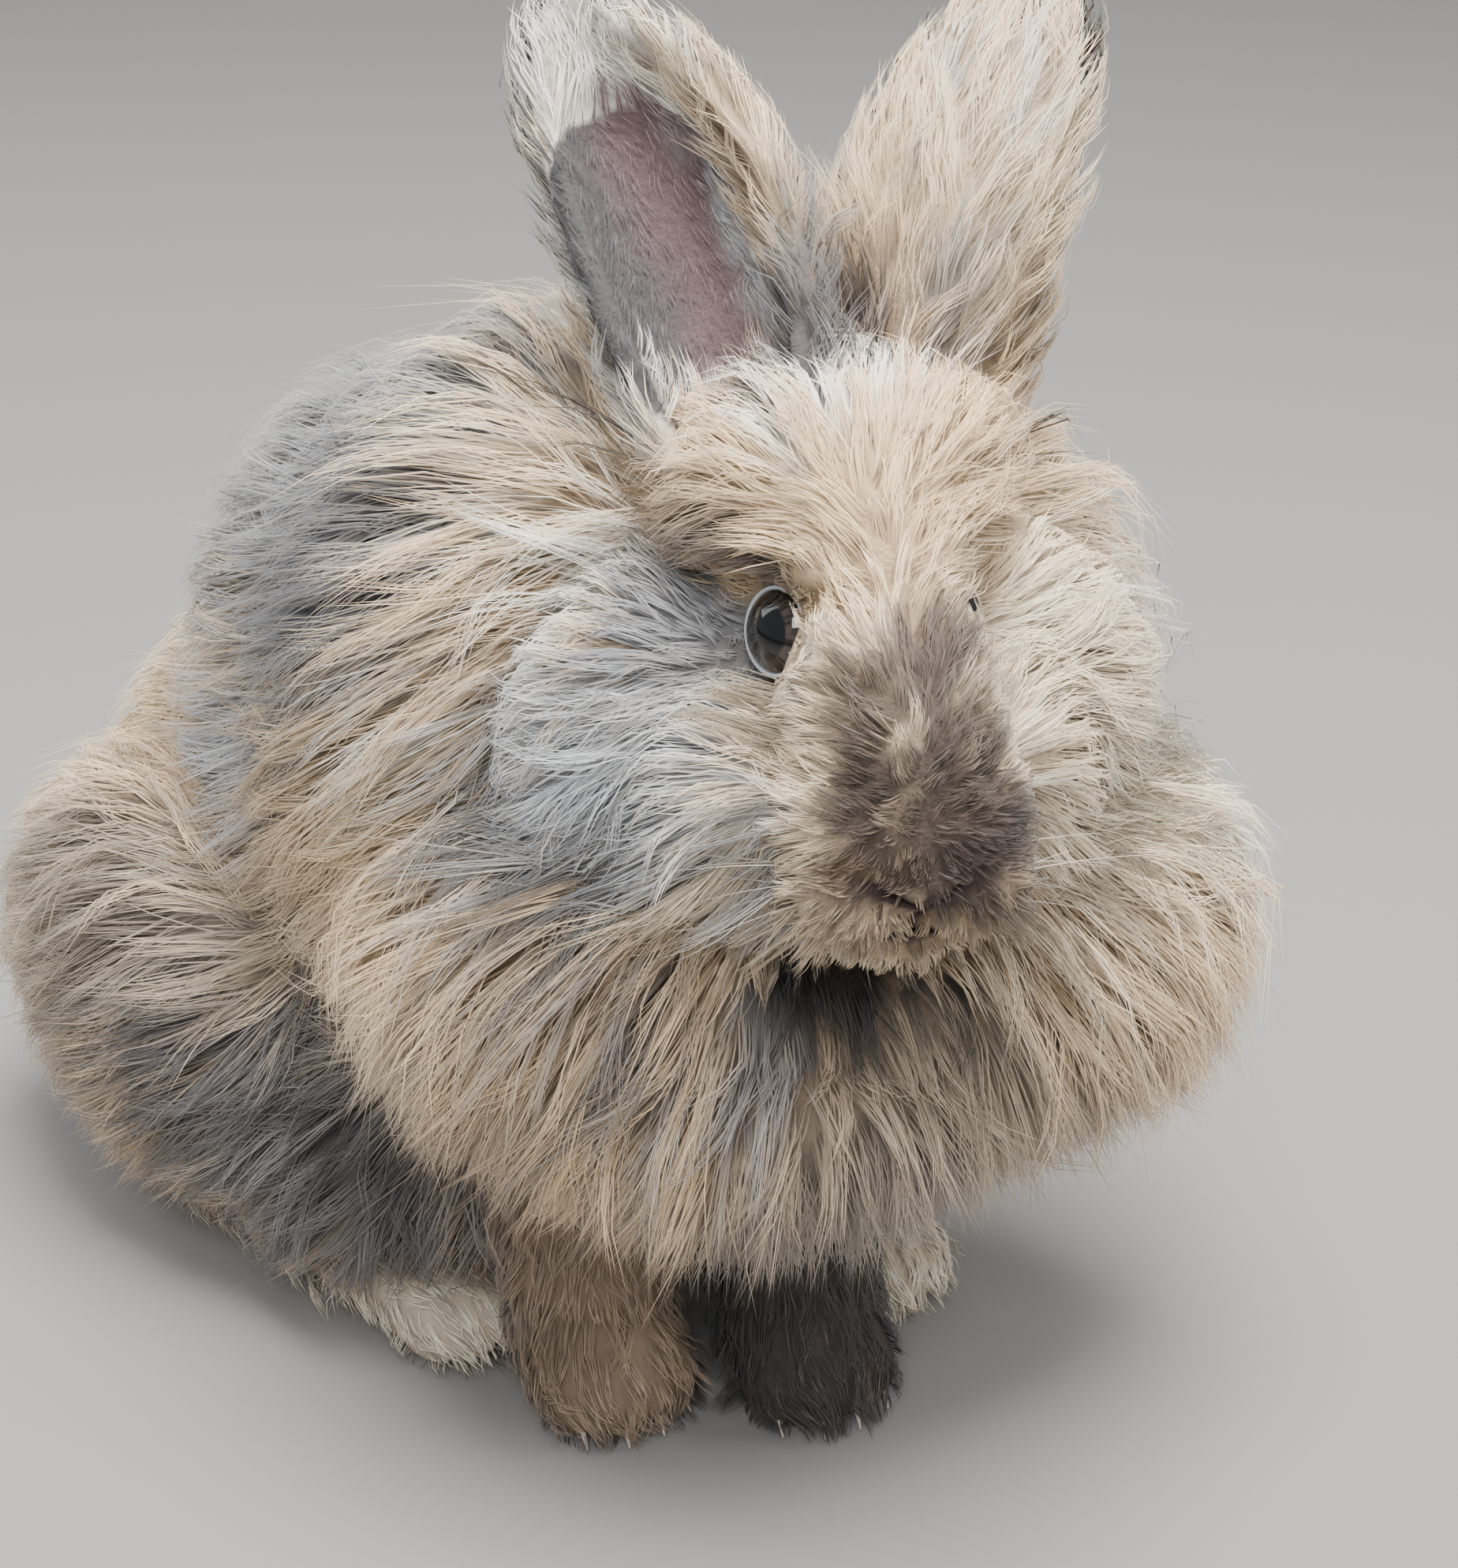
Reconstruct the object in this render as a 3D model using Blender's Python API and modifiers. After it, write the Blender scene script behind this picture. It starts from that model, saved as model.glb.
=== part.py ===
"""A lionhead rabbit that sits with its head turned to its right, life size, in metres.

The rabbit faces -Y, its left is +X, +Z is up and the floor is at z = 0. Each part of the body
is one closed solid. Ellipsoids give the outline at the tips of the coat. They are melted into a
core that lies halfway to the tips, and flat tapered locks grow from it along the lie of the hair.
"""

import math
import random
from collections import namedtuple

import bmesh
import bpy
from mathutils import Matrix, Vector
from mathutils.bvhtree import BVHTree

# Driving dimensions
CORE_GAP = 0.00040
LOCK_GAP = 0.00030
FLOOR_CLEARANCE = 0.0015
SEED = 18

HEAD = Vector((0.001, -0.088, 0.1676))
HEAD_TURN = -28

EYE_RADIUS = 0.0080
EYE_SIDE = 0.0104
EYE_FACING = Vector((0.87, -0.40, 0.28)).normalized()
LID_RADIUS = 0.0064
LID_THICKNESS = 0.0012
LID_FORWARD = 0.0052

EAR_HALF_WIDTH = 0.0160
EAR_THICKNESS = 0.0045
EAR_ROOT = (0.0115, 0.027, 0.018)
EAR_BOW = 0.005
RIGHT_EAR_TIP = (-0.033, 0.063, 0.080)
LEFT_EAR_TIP = (0.042, 0.049, 0.081)

PAW_RADII = (0.0150, 0.0185, 0.0150)
FOOT_HALF_WIDTH = 0.0125
FOOT_HEIGHT = 0.019
CLAW_LENGTH = 0.005
CLAW_RADIUS = 0.0011

# One ellipsoid: its middle, its radii, its turn about Z and then its tilt nose down, in degrees
Form = namedtuple("Form", "middle radii turn tilt", defaults=(0, 0))

TORSO_FORMS = [
    Form((0.000, -0.012, 0.116), (0.054, 0.053, 0.083)),
    Form((0.000, 0.023, 0.099), (0.048, 0.052, 0.081)),
    Form((0.000, 0.058, 0.064), (0.048, 0.053, 0.059)),
    Form((0.000, 0.010, 0.050), (0.054, 0.070, 0.046)),
]
NECK_FORMS = [
    Form((0.020, -0.047, 0.138), (0.071, 0.042, 0.057), HEAD_TURN),
    Form((0.013, -0.064, 0.096), (0.082, 0.050, 0.057), -32),
    Form((-0.002, -0.070, 0.076), (0.054, 0.042, 0.043), -35),
]
HAUNCH_FORMS = [
    Form((0.040, 0.054, 0.052), (0.029, 0.054, 0.048)),
    Form((0.038, 0.014, 0.036), (0.022, 0.036, 0.030)),
]
TAIL_FORMS = [
    Form((0.000, 0.106, 0.044), (0.019, 0.019, 0.022)),
    Form((0.000, 0.119, 0.038), (0.020, 0.018, 0.024)),
]

# The head's own frame: x to its left, -y ahead, z up, from the point between the eyes
SKULL_FORMS = [
    Form((0.0, 0.014, 0.005), (0.0175, 0.029, 0.026)),
    Form((0.0, -0.011, -0.008), (0.0168, 0.027, 0.0185), 0, 40),
    Form((0.0, -0.021, -0.021), (0.0195, 0.0150, 0.0150), 0, 40),
    Form((0.0, -0.0320, -0.0250), (0.0070, 0.0050, 0.0055), 0, 40),
    Form((0.0, -0.013, -0.034), (0.0145, 0.0155, 0.0105), 0, 30),
]
SKULL_PAIRS = [
    Form((0.0080, -0.0260, -0.0285), (0.0100, 0.0095, 0.0090)),
    Form((0.0175, 0.003, -0.026), (0.0180, 0.0200, 0.0185)),
    Form((0.0095, 0.002, 0.0125), (0.0065, 0.0140, 0.0060)),
]
HEAD_COAT_FORMS = [
    Form((0.0, 0.014, 0.017), (0.028, 0.026, 0.020)),
    Form((0.0, 0.020, -0.008), (0.032, 0.024, 0.030)),
]

# How the coat of a node is made: what its core is inset, its locks' spacing and sizes, and their lowest tips
Coat = namedtuple("Coat", "inset spacing length width thickness lowest")
COATS = {
    "head": Coat(0.006, 0.0120, 0.026, 0.0125, 0.0028, 0.100),
    "neck": Coat(0.013, 0.0170, 0.046, 0.0190, 0.0040, 0.034),
    "torso": Coat(0.010, 0.0215, 0.046, 0.0220, 0.0038, 0.008),
    "haunch": Coat(0.008, 0.0195, 0.038, 0.0200, 0.0036, 0.010),
    "tail": Coat(0.005, 0.0150, 0.022, 0.0130, 0.0028, 0.008),
}
LOCK_SINK = 0.004
LOCK_START = 0.011
# How far along its length each ring of a lock is, and how high it stands on the way to the tips
LOCK_RINGS = ((0.28, 0.45), (0.58, 0.78), (0.84, 0.95), (1.0, 1.06))
LOCK_WIDTHS = (0.45, 1.0, 0.85, 0.46)
LOCK_DEPTHS = (1.0, 0.95, 0.70, 0.42)
LOCK_SPREAD = 16
SHORTEST_LOCK = 0.45
SHORTENING = 0.90
STEEPENING = 0.50
UNDERSIDE = -0.35

# Where the hair parts on the face, in the head's frame, and how far its fan reaches
PARTING = Vector((0.0, -0.046, -0.022))
FAN_REACH = 0.130

# Each coat's colour, and the share of it that is rough
FAWN = (0.56, 0.43, 0.31, 1.0)
CREAM = (0.72, 0.60, 0.46, 1.0)
BLUE_GREY = (0.30, 0.30, 0.32, 1.0)
SOOT = (0.06, 0.06, 0.065, 1.0)
DARK_EYE = (0.012, 0.010, 0.012, 1.0)
COAT_ROUGHNESS = 0.9
EYE_ROUGHNESS = 0.08


def place(form):
    """Returns the matrix that carries a unit ball to a form."""
    turn = Matrix.Rotation(math.radians(form.turn), 4, "Z")
    tilt = Matrix.Rotation(math.radians(form.tilt), 4, "X")
    return Matrix.Translation(form.middle) @ turn @ tilt @ Matrix.Diagonal((*form.radii, 1))


def head_frame():
    return Matrix.Translation(HEAD) @ Matrix.Rotation(math.radians(HEAD_TURN), 4, "Z")


def mirrored(form, side):
    x, y, z = form.middle
    return form._replace(middle=(side * x, y, z), turn=side * form.turn)


def link(obj):
    """Puts an object in the scene, where modifiers are evaluated."""
    bpy.context.scene.collection.objects.link(obj)
    return obj


def settle(obj):
    """Sorts the vertices and faces of a mesh by place, so that every run goes on from the same mesh."""
    mesh = obj.data
    places = [tuple(vert.co) for vert in mesh.vertices]
    order = sorted(range(len(places)), key=places.__getitem__)
    rank = {old: new for new, old in enumerate(order)}
    rings = []
    for face in mesh.polygons:
        ring = [rank[index] for index in face.vertices]
        first = ring.index(min(ring))
        rings.append(ring[first:] + ring[:first])
    fresh = bpy.data.meshes.new(obj.name)
    fresh.from_pydata([places[index] for index in order], [], sorted(rings))
    obj.data = fresh
    return obj


def mesh_object(name, bm):
    mesh = bpy.data.meshes.new(name)
    bm.to_mesh(mesh)
    bm.free()
    return settle(link(bpy.data.objects.new(name, mesh)))


def ball(name, matrix, subdivisions=4):
    bm = bmesh.new()
    bmesh.ops.create_icosphere(bm, subdivisions=subdivisions, radius=1, matrix=matrix)
    return mesh_object(name, bm)


def apply_modifiers(obj):
    """Replaces the object's mesh by what its modifiers make of it."""
    graph = bpy.context.evaluated_depsgraph_get()
    mesh = bpy.data.meshes.new_from_object(obj.evaluated_get(graph))
    obj.modifiers.clear()
    obj.data = mesh
    settle(obj)


def triangle_count(mesh):
    return sum(len(face.vertices) - 2 for face in mesh.polygons)


def melt(name, matrices, voxel, triangles, smoothing=30):
    """Returns one closed smooth body from overlapping unit balls carried by matrices."""
    bm = bmesh.new()
    for matrix in matrices:
        bmesh.ops.create_icosphere(bm, subdivisions=5, radius=1, matrix=matrix)
    obj = mesh_object(name, bm)
    remesh = obj.modifiers.new("remesh", "REMESH")
    remesh.mode = "VOXEL"
    remesh.voxel_size = voxel
    smooth = obj.modifiers.new("smooth", "SMOOTH")
    smooth.factor = 0.5
    smooth.iterations = smoothing
    apply_modifiers(obj)
    decimate = obj.modifiers.new("decimate", "DECIMATE")
    decimate.ratio = min(1, triangles / triangle_count(obj.data))
    apply_modifiers(obj)
    return obj


def boolean(obj, operation, others, solver="MANIFOLD"):
    """Joins or cuts a mesh with a collection of closed meshes, which are then removed."""
    operands = bpy.data.collections.new("operands")
    bpy.context.scene.collection.children.link(operands)
    for other in others:
        operands.objects.link(other)
    modifier = obj.modifiers.new("boolean", "BOOLEAN")
    modifier.operation = operation
    modifier.operand_type = "COLLECTION"
    modifier.collection = operands
    modifier.solver = solver
    apply_modifiers(obj)
    for other in others:
        bpy.data.objects.remove(other)
    bpy.data.collections.remove(operands)


def keep_largest(obj):
    """Keeps only the largest closed surface of a mesh, as triangles."""
    bm = bmesh.new()
    bm.from_mesh(obj.data)
    unseen = set(bm.faces)
    surfaces = []
    while unseen:
        surface = [unseen.pop()]
        for face in surface:
            for edge in face.edges:
                if len(edge.link_faces) != 2:
                    continue
                for beside in edge.link_faces:
                    if beside in unseen:
                        unseen.discard(beside)
                        surface.append(beside)
        surfaces.append(surface)
    surfaces.sort(key=len)
    spare = [face for surface in surfaces[:-1] for face in surface]
    bmesh.ops.delete(bm, geom=spare, context="FACES")
    bmesh.ops.triangulate(bm, faces=bm.faces)
    bm.to_mesh(obj.data)
    bm.free()
    settle(obj)


def swollen(obj, distance):
    """Returns a copy of a node, grown along its normals."""
    bm = bmesh.new()
    bm.from_mesh(obj.data)
    bm.normal_update()
    moves = [vert.normal * distance * min(vert.calc_shell_factor(), 2) for vert in bm.verts]
    for vert, move in zip(bm.verts, moves):
        vert.co += move
    return mesh_object(obj.name + "_room", bm)


def corners(obj):
    points = [vert.co for vert in obj.data.vertices]
    low = Vector(min(p[axis] for p in points) for axis in range(3))
    high = Vector(max(p[axis] for p in points) for axis in range(3))
    return low, high


def near(one, other):
    low_a, high_a = corners(one)
    low_b, high_b = corners(other)
    return all(low_a[i] < high_b[i] + CORE_GAP and low_b[i] < high_a[i] + CORE_GAP for i in range(3))


def clear_of(obj, others, gap):
    """Cuts a node clear of the nodes it meets."""
    for other in others:
        if near(obj, other):
            boolean(obj, "DIFFERENCE", [swollen(other, gap)])
    keep_largest(obj)


def lie_at(point):
    """The way the hair lies: away from the face in a fan, then back and down over the body."""
    away = point - head_frame() @ PARTING
    fan = min(1, max(0, 1.25 - away.length / FAN_REACH))
    back = min(1, max(0.05, (point.y + 0.070) / 0.090))
    down = 0.30 + 0.75 * (1 - min(1, point.z / 0.190)) + 0.6 * (1 - back)
    body = Vector((point.x * 2.5, back, -down)).normalized()
    fan_down = Vector((0, 0, -0.45 * fan))
    return (away.normalized() * fan + body * (1 - fan) + fan_down).normalized()


def within(point, forms, share):
    """Says whether a point is inside one of the forms, each scaled by a share."""
    return any((place(form).inverted() @ point).length < share for form in forms)


def inset(forms, depth):
    return [form._replace(radii=tuple(radius - depth for radius in form.radii)) for form in forms]


def scatter(obj, spacing, rng, allowed):
    """Returns seeded roots on a core, evenly apart, with their normals."""
    mesh = obj.data
    faces = [face for face in mesh.polygons]
    weights = [face.area for face in faces]
    tries = int(40 * sum(weights) / spacing**2)
    roots = []
    for face in rng.choices(faces, weights, k=tries):
        a, b, c = (mesh.vertices[index].co for index in face.vertices[:3])
        u, v = rng.random(), rng.random()
        if u + v > 1:
            u, v = 1 - u, 1 - v
        point = a + (b - a) * u + (c - a) * v
        if not allowed(point, face.normal):
            continue
        if all((point - root).length > spacing for root, _ in roots):
            roots.append((point, face.normal.copy()))
    return roots


def lock_spine(tree, root, normal, length, height, turn, start):
    """Points, normals and directions from inside the core, out and along the lie to the tip."""
    along = Matrix.Rotation(turn, 3, normal) @ lie_at(root)
    along = (along - normal * along.dot(normal)).normalized()
    spine = [(root - normal * LOCK_SINK - along * start, normal, along)]
    base = root
    walked = 0
    for share, rise in LOCK_RINGS:
        along = Matrix.Rotation(turn, 3, normal) @ lie_at(base)
        if normal.z > UNDERSIDE:
            along -= normal * along.dot(normal)
        along.normalize()
        base = base + along * length * (share - walked)
        walked = share
        surface, outward, _, _ = tree.find_nearest(base)
        if outward.z > UNDERSIDE:
            base, normal = surface, outward
        spine.append((base + normal * height * rise, normal, along))
    return spine


def make_lock(spine, width, thickness):
    """A flat closed lock, of two edges and a ridge, that tapers along its spine to a point."""
    bm = bmesh.new()
    rings = []
    for (point, normal, along), wide, deep in zip(spine, LOCK_WIDTHS, LOCK_DEPTHS):
        side = normal.cross(along).normalized() * width * wide / 2
        ridge = normal * thickness * deep
        rings.append([bm.verts.new(point + offset) for offset in (side, ridge, -side)])
    tip = bm.verts.new(spine[-1][0])
    bm.faces.new(reversed(rings[0]))
    for lower, upper in zip(rings, rings[1:]):
        for index in range(3):
            following = (index + 1) % 3
            bm.faces.new((lower[index], lower[following], upper[following], upper[index]))
    for index in range(3):
        bm.faces.new((rings[-1][index], rings[-1][(index + 1) % 3], tip))
    bmesh.ops.recalc_face_normals(bm, faces=bm.faces)
    bmesh.ops.triangulate(bm, faces=bm.faces)
    return mesh_object("lock", bm)


def surface_tree(objects, growth=0.0):
    """Returns a search tree of the surfaces of some nodes, each grown a little if asked."""
    bm = bmesh.new()
    for obj in objects:
        grown = swollen(obj, growth)
        bm.from_mesh(grown.data)
        bpy.data.objects.remove(grown)
    tree = BVHTree.FromBMesh(bm)
    bm.free()
    return tree


def fitted_lock(root, normal, coat, rng, cores, obstacles):
    """Returns a lock that keeps above its lowest level and clear of the other nodes, or None."""
    turn = math.radians(rng.uniform(-LOCK_SPREAD, LOCK_SPREAD))
    length = coat.length * rng.uniform(0.80, 1.15)
    height = coat.inset * rng.uniform(0.85, 1.10)
    width = coat.width * rng.uniform(0.85, 1.15)
    start = LOCK_START
    while length > coat.length * SHORTEST_LOCK:
        spine = lock_spine(cores, root, normal, length, height, turn, start)
        if spine[-1][0].z >= coat.lowest:
            lock = make_lock(spine, width, coat.thickness)
            if not surface_tree([lock]).overlap(obstacles):
                return lock
            bpy.data.objects.remove(lock)
        length *= SHORTENING
        start *= STEEPENING
        turn += math.radians(rng.uniform(-LOCK_SPREAD, LOCK_SPREAD))
    return None


def grow_locks(node, coat, allowed, cores, others):
    """Fuses a node's locks to its core in one union, each clear of the other nodes."""
    rng = random.Random(f"{SEED} {node.name}")
    obstacles = surface_tree(others, LOCK_GAP)
    roots = scatter(node, coat.spacing, rng, allowed)
    tries = [fitted_lock(root, normal, coat, rng, cores, obstacles) for root, normal in roots]
    locks = [lock for lock in tries if lock]
    boolean(node, "UNION", locks)
    keep_largest(node)


def cut_level(obj, height):
    """Cuts off what reaches below a height and closes the cut with a flat."""
    bm = bmesh.new()
    bm.from_mesh(obj.data)
    everything = bm.verts[:] + bm.edges[:] + bm.faces[:]
    cut = bmesh.ops.bisect_plane(
        bm, geom=everything, plane_co=(0, 0, height), plane_no=(0, 0, 1), clear_inner=True, dist=1e-7
    )
    rim = [item for item in cut["geom_cut"] if isinstance(item, bmesh.types.BMEdge)]
    bmesh.ops.holes_fill(bm, edges=rim)
    bmesh.ops.recalc_face_normals(bm, faces=bm.faces)
    bmesh.ops.triangulate(bm, faces=bm.faces)
    bm.to_mesh(obj.data)
    bm.free()
    settle(obj)


def paint(obj, colour, roughness=COAT_ROUGHNESS):
    material = bpy.data.materials.new(obj.name)
    material.use_nodes = True
    surface = material.node_tree.nodes["Principled BSDF"]
    surface.inputs["Base Color"].default_value = colour
    surface.inputs["Roughness"].default_value = roughness
    obj.data.materials.clear()
    obj.data.materials.append(material)


def eye_middle(side):
    return head_frame() @ Vector((side * EYE_SIDE, 0, 0))


def eye_facing(side):
    facing = Vector((side * EYE_FACING.x, EYE_FACING.y, EYE_FACING.z))
    return head_frame().to_3x3() @ facing


def make_eye(name, side):
    bm = bmesh.new()
    turn = eye_facing(side).to_track_quat("Z", "Y").to_matrix().to_4x4()
    middle = Matrix.Translation(eye_middle(side))
    bmesh.ops.create_uvsphere(bm, u_segments=16, v_segments=8, radius=EYE_RADIUS, matrix=middle @ turn)
    bmesh.ops.triangulate(bm, faces=bm.faces)
    return mesh_object(name, bm)


def make_lid(side):
    """The rim of the lids, a ring that lies on the front of the eye."""
    facing = eye_facing(side)
    middle = eye_middle(side) + facing * LID_FORWARD
    turn = facing.to_track_quat("Z", "Y")
    bpy.ops.mesh.primitive_torus_add(
        location=middle,
        rotation=turn.to_euler(),
        major_segments=16,
        minor_segments=5,
        major_radius=LID_RADIUS,
        minor_radius=LID_THICKNESS,
    )
    lid = bpy.context.active_object
    lid.data.transform(lid.matrix_world)
    lid.matrix_world = Matrix()
    return lid


def head_ball(name, form, subdivisions=2):
    return ball(name, head_frame() @ place(form), subdivisions)


def make_head(name, coat_forms):
    frame = head_frame()
    forms = SKULL_FORMS + coat_forms
    forms += [mirrored(form, side) for form in SKULL_PAIRS for side in (-1, 1)]
    head = melt(name, [frame @ place(form) for form in forms], 0.0018, 1150, 14)
    lower_lip = Form((0.0, -0.0265, -0.0375), (0.0055, 0.0045, 0.0032), 0, 25)
    boolean(head, "UNION", [make_lid(-1), make_lid(1), head_ball("lip", lower_lip)])
    mouth = Form((0.0, -0.0300, -0.0345), (0.0085, 0.0080, 0.0006), 0, 12)
    cleft = Form((0.0, -0.0365, -0.0315), (0.0005, 0.0040, 0.0050), 0, 20)
    nostrils = [Form((side * 0.0032, -0.0370, -0.0262), (0.0020, 0.0022, 0.0007), side * 20, 20) for side in (-1, 1)]
    cutters = [head_ball("slot", form) for form in [mouth, cleft] + nostrils]
    boolean(head, "DIFFERENCE", cutters)
    return head


def ear_half_width(along):
    """The ear is narrow at its root, widest past its middle, and comes to a blunt point."""
    root_part = 0.66 + 0.34 * math.sin(min(along / 0.5, 1) * math.pi / 2)
    tip_part = max(0, 1 - max(0, (along - 0.45) / 0.55) ** 2.2) ** 0.62
    return EAR_HALF_WIDTH * root_part * max(tip_part, 0.08)


def make_ear(name, root, tip, opening, curl, inward):
    """A cupped shell from a root to a tip, open towards a direction and bowed inward."""
    axis = (tip - root).normalized()
    across = axis.cross(opening).normalized()
    opening = across.cross(axis)
    length = (tip - root).length
    rows = 11
    columns = 8
    bm = bmesh.new()
    bmesh.ops.create_grid(bm, x_segments=columns, y_segments=rows, size=1)
    for vert in bm.verts:
        along = (vert.co.y + 1) / 2
        spread = math.radians(curl[0] + (curl[1] - curl[0]) * along**0.7)
        angle = vert.co.x * spread
        radius = ear_half_width(along) / math.sin(min(spread, math.pi / 2))
        backward = radius * (math.cos(angle) - 1) * -1
        spine = root + axis * length * along + inward * EAR_BOW * math.sin(along * math.pi)
        vert.co = spine + across * radius * math.sin(angle) + opening * (backward - radius * 0.4)
    ear = mesh_object(name, bm)
    shell = ear.modifiers.new("thickness", "SOLIDIFY")
    shell.thickness = EAR_THICKNESS
    shell.offset = 0
    shell.use_even_offset = False
    apply_modifiers(ear)
    bm = bmesh.new()
    bm.from_mesh(ear.data)
    bmesh.ops.recalc_face_normals(bm, faces=bm.faces)
    bmesh.ops.triangulate(bm, faces=bm.faces)
    bm.to_mesh(ear.data)
    bm.free()
    return ear


def make_claws(toes, heading):
    """Slim cones that point ahead and down from the toes, clear of the floor."""
    claws = []
    for toe in toes:
        bm = bmesh.new()
        aim = (heading + Vector((0, 0, -0.25))).normalized()
        turn = aim.to_track_quat("Z", "Y").to_matrix().to_4x4()
        bmesh.ops.create_cone(
            bm,
            cap_ends=True,
            segments=5,
            radius1=CLAW_RADIUS,
            radius2=CLAW_RADIUS * 0.3,
            depth=CLAW_LENGTH,
            matrix=Matrix.Translation(toe) @ turn,
        )
        claws.append(mesh_object("claw", bm))
    return claws


def make_foreleg(name, paw, shoulder, turn):
    """A paw with four toes that stands flat, and the leg up into the chest."""
    rotation = Matrix.Rotation(math.radians(turn), 3, "Z")
    heading = rotation @ Vector((0, -1, 0))
    side = rotation @ Vector((1, 0, 0))
    forms = [Form((paw.x, paw.y, 0.0105), PAW_RADII, turn)]
    toes = []
    for step in (-1.5, -0.5, 0.5, 1.5):
        reach = 0.0125 - 0.0016 * step * step
        toe = paw + side * step * 0.0070 + heading * reach
        forms.append(Form((toe.x, toe.y, 0.0075), (0.0046, 0.0095, 0.0080), turn))
        toes.append(Vector((toe.x, toe.y, 0.0050)) + heading * 0.0095)
    steps = 5
    for index in range(1, steps + 1):
        share = index / steps
        middle = paw.lerp(shoulder, share)
        radius = 0.0135 + 0.006 * share
        forms.append(Form(middle, (radius, radius, 0.017), turn))
    leg = melt(name, [place(form) for form in forms], 0.0018, 380, 5)
    boolean(leg, "UNION", make_claws(toes, heading))
    return leg


def make_hindfoot(name, toe_end, heel):
    """A long foot that lies flat from the heel to the toes."""
    heading = (toe_end - heel).normalized()
    turn = math.degrees(math.atan2(heading.x, -heading.y))
    side = Vector((-heading.y, heading.x, 0))
    forms = []
    steps = 6
    for index in range(steps + 1):
        share = index / steps
        middle = heel.lerp(toe_end, share)
        width = FOOT_HALF_WIDTH * (0.82 + 0.18 * share)
        forms.append(Form((middle.x, middle.y, 0.008), (width, 0.016, FOOT_HEIGHT * (0.65 - 0.13 * share)), turn))
    toes = []
    for step in (-1.5, -0.5, 0.5, 1.5):
        toe = toe_end + side * step * 0.0056 + heading * (0.0105 - 0.0014 * step * step)
        forms.append(Form((toe.x, toe.y, 0.0065), (0.0042, 0.0090, 0.0075), turn))
        toes.append(Vector((toe.x, toe.y, 0.0046)) + heading * 0.0090)
    foot = melt(name, [place(form) for form in forms], 0.0018, 330, 5)
    boolean(foot, "UNION", make_claws(toes, heading))
    return foot


def coat_core(name, forms, depth, triangles, voxel=0.0030):
    return melt(name, [place(form) for form in inset(forms, depth)], voxel, triangles)


def head_allows(point, normal):
    """Locks grow on the crown and the cheeks, behind the eyes."""
    x, y, z = head_frame().inverted() @ point
    crown = z > 0.016 and y > -0.004
    cheek = y > 0.001 and abs(x) > 0.010 and z > -0.034
    facing_back = (head_frame().to_3x3().inverted() @ normal).y > 0.75
    return (crown or cheek) and not facing_back


def neck_allows(point, normal):
    head_forms = [form._replace(middle=head_frame() @ Vector(form.middle)) for form in SKULL_FORMS]
    inside_torso = within(point, inset(TORSO_FORMS, COATS["torso"].inset), 1.0)
    return normal.z > -0.75 and not inside_torso and not within(point, head_forms, 1.1)


def torso_allows(point, normal):
    inside_neck = within(point, NECK_FORMS, 0.84)
    inside_haunch = any(within(point, [mirrored(form, side) for form in HAUNCH_FORMS], 0.9) for side in (-1, 1))
    return normal.z > -0.45 and not inside_neck and not inside_haunch


def haunch_allows(point, normal):
    inside_torso = within(point, inset(TORSO_FORMS, COATS["torso"].inset), 1.0)
    return normal.z > -0.55 and not inside_torso and not within(point, NECK_FORMS, 0.9)


def tail_allows(point, normal):
    return normal.y > -0.1 and not within(point, TORSO_FORMS, 0.95)


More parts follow.
